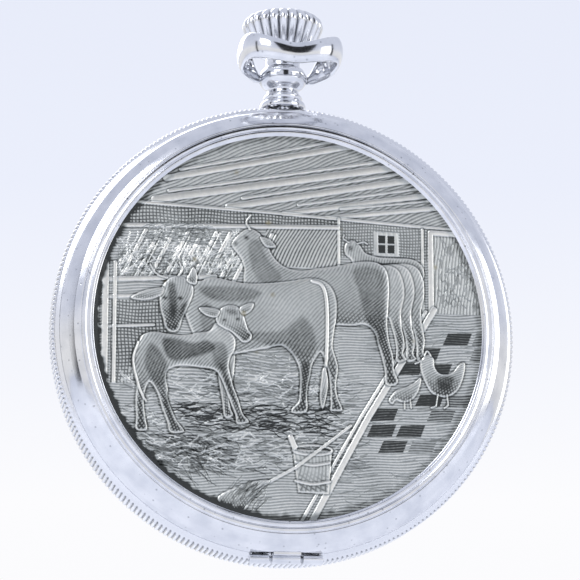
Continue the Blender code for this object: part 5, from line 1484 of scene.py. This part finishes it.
class BuildStage(bpy.types.Operator):
    """Pale floor, soft lights, dark reflector cards and the camera."""

    bl_idname = "watch.stage"
    bl_label = "Studio"

    def execute(self, context):
        scene = context.scene
        drop = -scene.watch_sizes.floor_drop
        side = np.linspace(-1.2, 1.2, 13)
        x, y = np.meshgrid(side, side, indexing="xy")
        z = drop + 0.0 * x
        top = np.stack([x, y, z], axis=-1).reshape(-1, 3)
        floor_mesh = as_mesh("studio_floor", top, [grid_faces(13, 13, False, False)])
        if floor_mesh.polygons[0].normal.z < 0:
            floor_mesh.flip_normals()
        floor_mesh.materials.append(finish("studio_floor"))
        floor = bpy.data.objects.new("studio_floor", floor_mesh)
        scene.collection.objects.link(floor)
        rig.stage(floor)
        self.surroundings(scene)
        self.cards(scene)
        self.lights(scene)
        self.camera(scene)
        scene.view_settings.view_transform = "Standard"
        return {"FINISHED"}

    def surroundings(self, scene):
        """A sky whose colour depends on height alone: white low down, pale lavender above."""
        world = bpy.data.worlds.new("studio_air")
        world.use_nodes = True
        tree = world.node_tree
        tree.nodes.clear()
        way = node(tree, "ShaderNodeTexCoord").outputs["Generated"]
        parts = node(tree, "ShaderNodeSeparateXYZ", {0: way})
        share = node(
            tree,
            "ShaderNodeMapRange",
            {"Value": parts.outputs["Z"], "From Min": -0.2, "From Max": 0.5},
        )
        tone = ramp(
            node(tree, "ShaderNodeValToRGB", {"Fac": share.outputs["Result"]}),
            (0.0, "#f4f4f6"),
            (0.5, "#fcfcfe"),
            (0.66, "#ebeffc"),
            (1.0, "#dfe4f4"),
        )
        air = node(tree, "ShaderNodeBackground", {"Color": tone.outputs["Color"], "Strength": 1.0})
        node(tree, "ShaderNodeOutputWorld", {"Surface": air.outputs[0]})
        scene.world = world

    def cards(self, scene):
        """Flat cards that only reflections see, so that the polished metal has something dark to show."""
        stops = (0.3, "#050506"), (0.8, "#1a1a1c")
        flock = grained("black flocked card", 20.0, 2.0, stops, Roughness=1.0)
        for name, spot, half_wide, half_high in (
            ("behind", (0.012, -0.1, 0.101), 0.024, 0.038),
            ("left", (-0.75, -0.25, 0.1), 0.05, 0.4),
            ("right", (0.75, -0.2, 0.1), 0.05, 0.4),
        ):
            centre = Vector(spot)
            face = (Vector((0, 0, 0.03)) - centre).normalized()
            right = face.cross(Vector((0, 0, 1))).normalized()
            up = right.cross(face)
            u, v = np.meshgrid(np.linspace(-1, 1, 3), np.linspace(-1, 1, 3), indexing="xy")
            points = (
                np.array(centre)
                + u[..., None] * half_wide * np.array(right)
                + v[..., None] * half_high * np.array(up)
            )
            mesh = as_mesh(f"card_{name}", points.reshape(-1, 3), [grid_faces(3, 3, False, False)])
            mesh.materials.append(flock)
            card = bpy.data.objects.new(f"card_{name}", mesh)
            card.visible_camera = False
            card.visible_shadow = False
            scene.collection.objects.link(card)
            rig.stage(card)

    def lights(self, scene):
        """Three soft boxes aimed at the watch."""
        for name, spot, size, power in (
            ("key", (-0.45, -0.55, 0.55), 0.35, 2.6),
            ("fill", (0.6, -0.45, 0.2), 0.4, 1.0),
            ("front", (-0.2, 0.7, 0.5), 0.5, 2.5),
        ):
            lamp = bpy.data.lights.new(f"soft_{name}", "AREA")
            lamp.shape, lamp.size, lamp.energy = "SQUARE", size, power
            made = bpy.data.objects.new(f"soft_{name}", lamp)
            made.location = spot
            made.rotation_euler = (Vector((0, 0, 0.03)) - made.location).to_track_quat("-Z", "Y").to_euler()
            scene.collection.objects.link(made)

    def camera(self, scene):
        """The camera: low and a little to the left of the back, with a long lens."""
        turn, tilt, distance = math.radians(-9), math.radians(-13), 0.3
        target = Vector((0.00081, 0.0, 0.03002))
        way = Vector((math.sin(turn) * math.cos(tilt), -math.cos(turn) * math.cos(tilt), math.sin(tilt)))
        lens = bpy.data.cameras.new("camera")
        lens.lens, lens.sensor_width = 172.5, 36.0
        lens.clip_start, lens.clip_end = 0.01, 20.0
        made = bpy.data.objects.new("camera", lens)
        made.location = target + way * distance
        made.rotation_euler = (-way).to_track_quat("-Z", "Y").to_euler()
        scene.collection.objects.link(made)
        scene.camera = made


OPERATORS = (
    BuildBand,
    BuildBack,
    BuildInnerCover,
    BuildFront,
    BuildNeck,
    BuildDial,
    BuildJewels,
    FinishMovement,
    BuildStage,
)


class WatchPanel(bpy.types.Panel):
    """Lists the pieces, their sizes and their colours."""

    bl_idname = "VIEW3D_PT_watch"
    bl_label = "Pocket watch"
    bl_space_type = "VIEW_3D"
    bl_region_type = "UI"
    bl_category = "Watch"

    def draw(self, context):
        for made in OPERATORS:
            self.layout.operator(made.bl_idname)
        for group in (context.scene.watch_sizes, context.scene.watch_colours):
            box = self.layout.box()
            for name in group.bl_rna.properties.keys():
                if name not in {"rna_type", "name"}:
                    box.prop(group, name)


CLASSES = (WatchSizes, WatchColours, *OPERATORS, WatchPanel)


def register():
    for made in CLASSES:
        bpy.utils.register_class(made)
    bpy.types.Scene.watch_sizes = bpy.props.PointerProperty(type=WatchSizes)
    bpy.types.Scene.watch_colours = bpy.props.PointerProperty(type=WatchColours)


def unregister():
    del bpy.types.Scene.watch_sizes
    del bpy.types.Scene.watch_colours
    for made in reversed(CLASSES):
        bpy.utils.unregister_class(made)


def main():
    register()
    packed = [list(corner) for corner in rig.bounds()]
    bpy.ops.watch.band()
    bpy.ops.watch.back()
    bpy.ops.watch.dust_cover()
    bpy.ops.watch.front()
    bpy.ops.watch.neck()
    bpy.ops.watch.dial()
    bpy.ops.watch.jewels()
    bpy.ops.watch.movement()
    bpy.ops.watch.stage()
    with open("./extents.json", "w") as out:
        json.dump({"packed": packed, "shown": [list(corner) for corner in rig.bounds()]}, out)


if __name__ == "__main__":
    main()
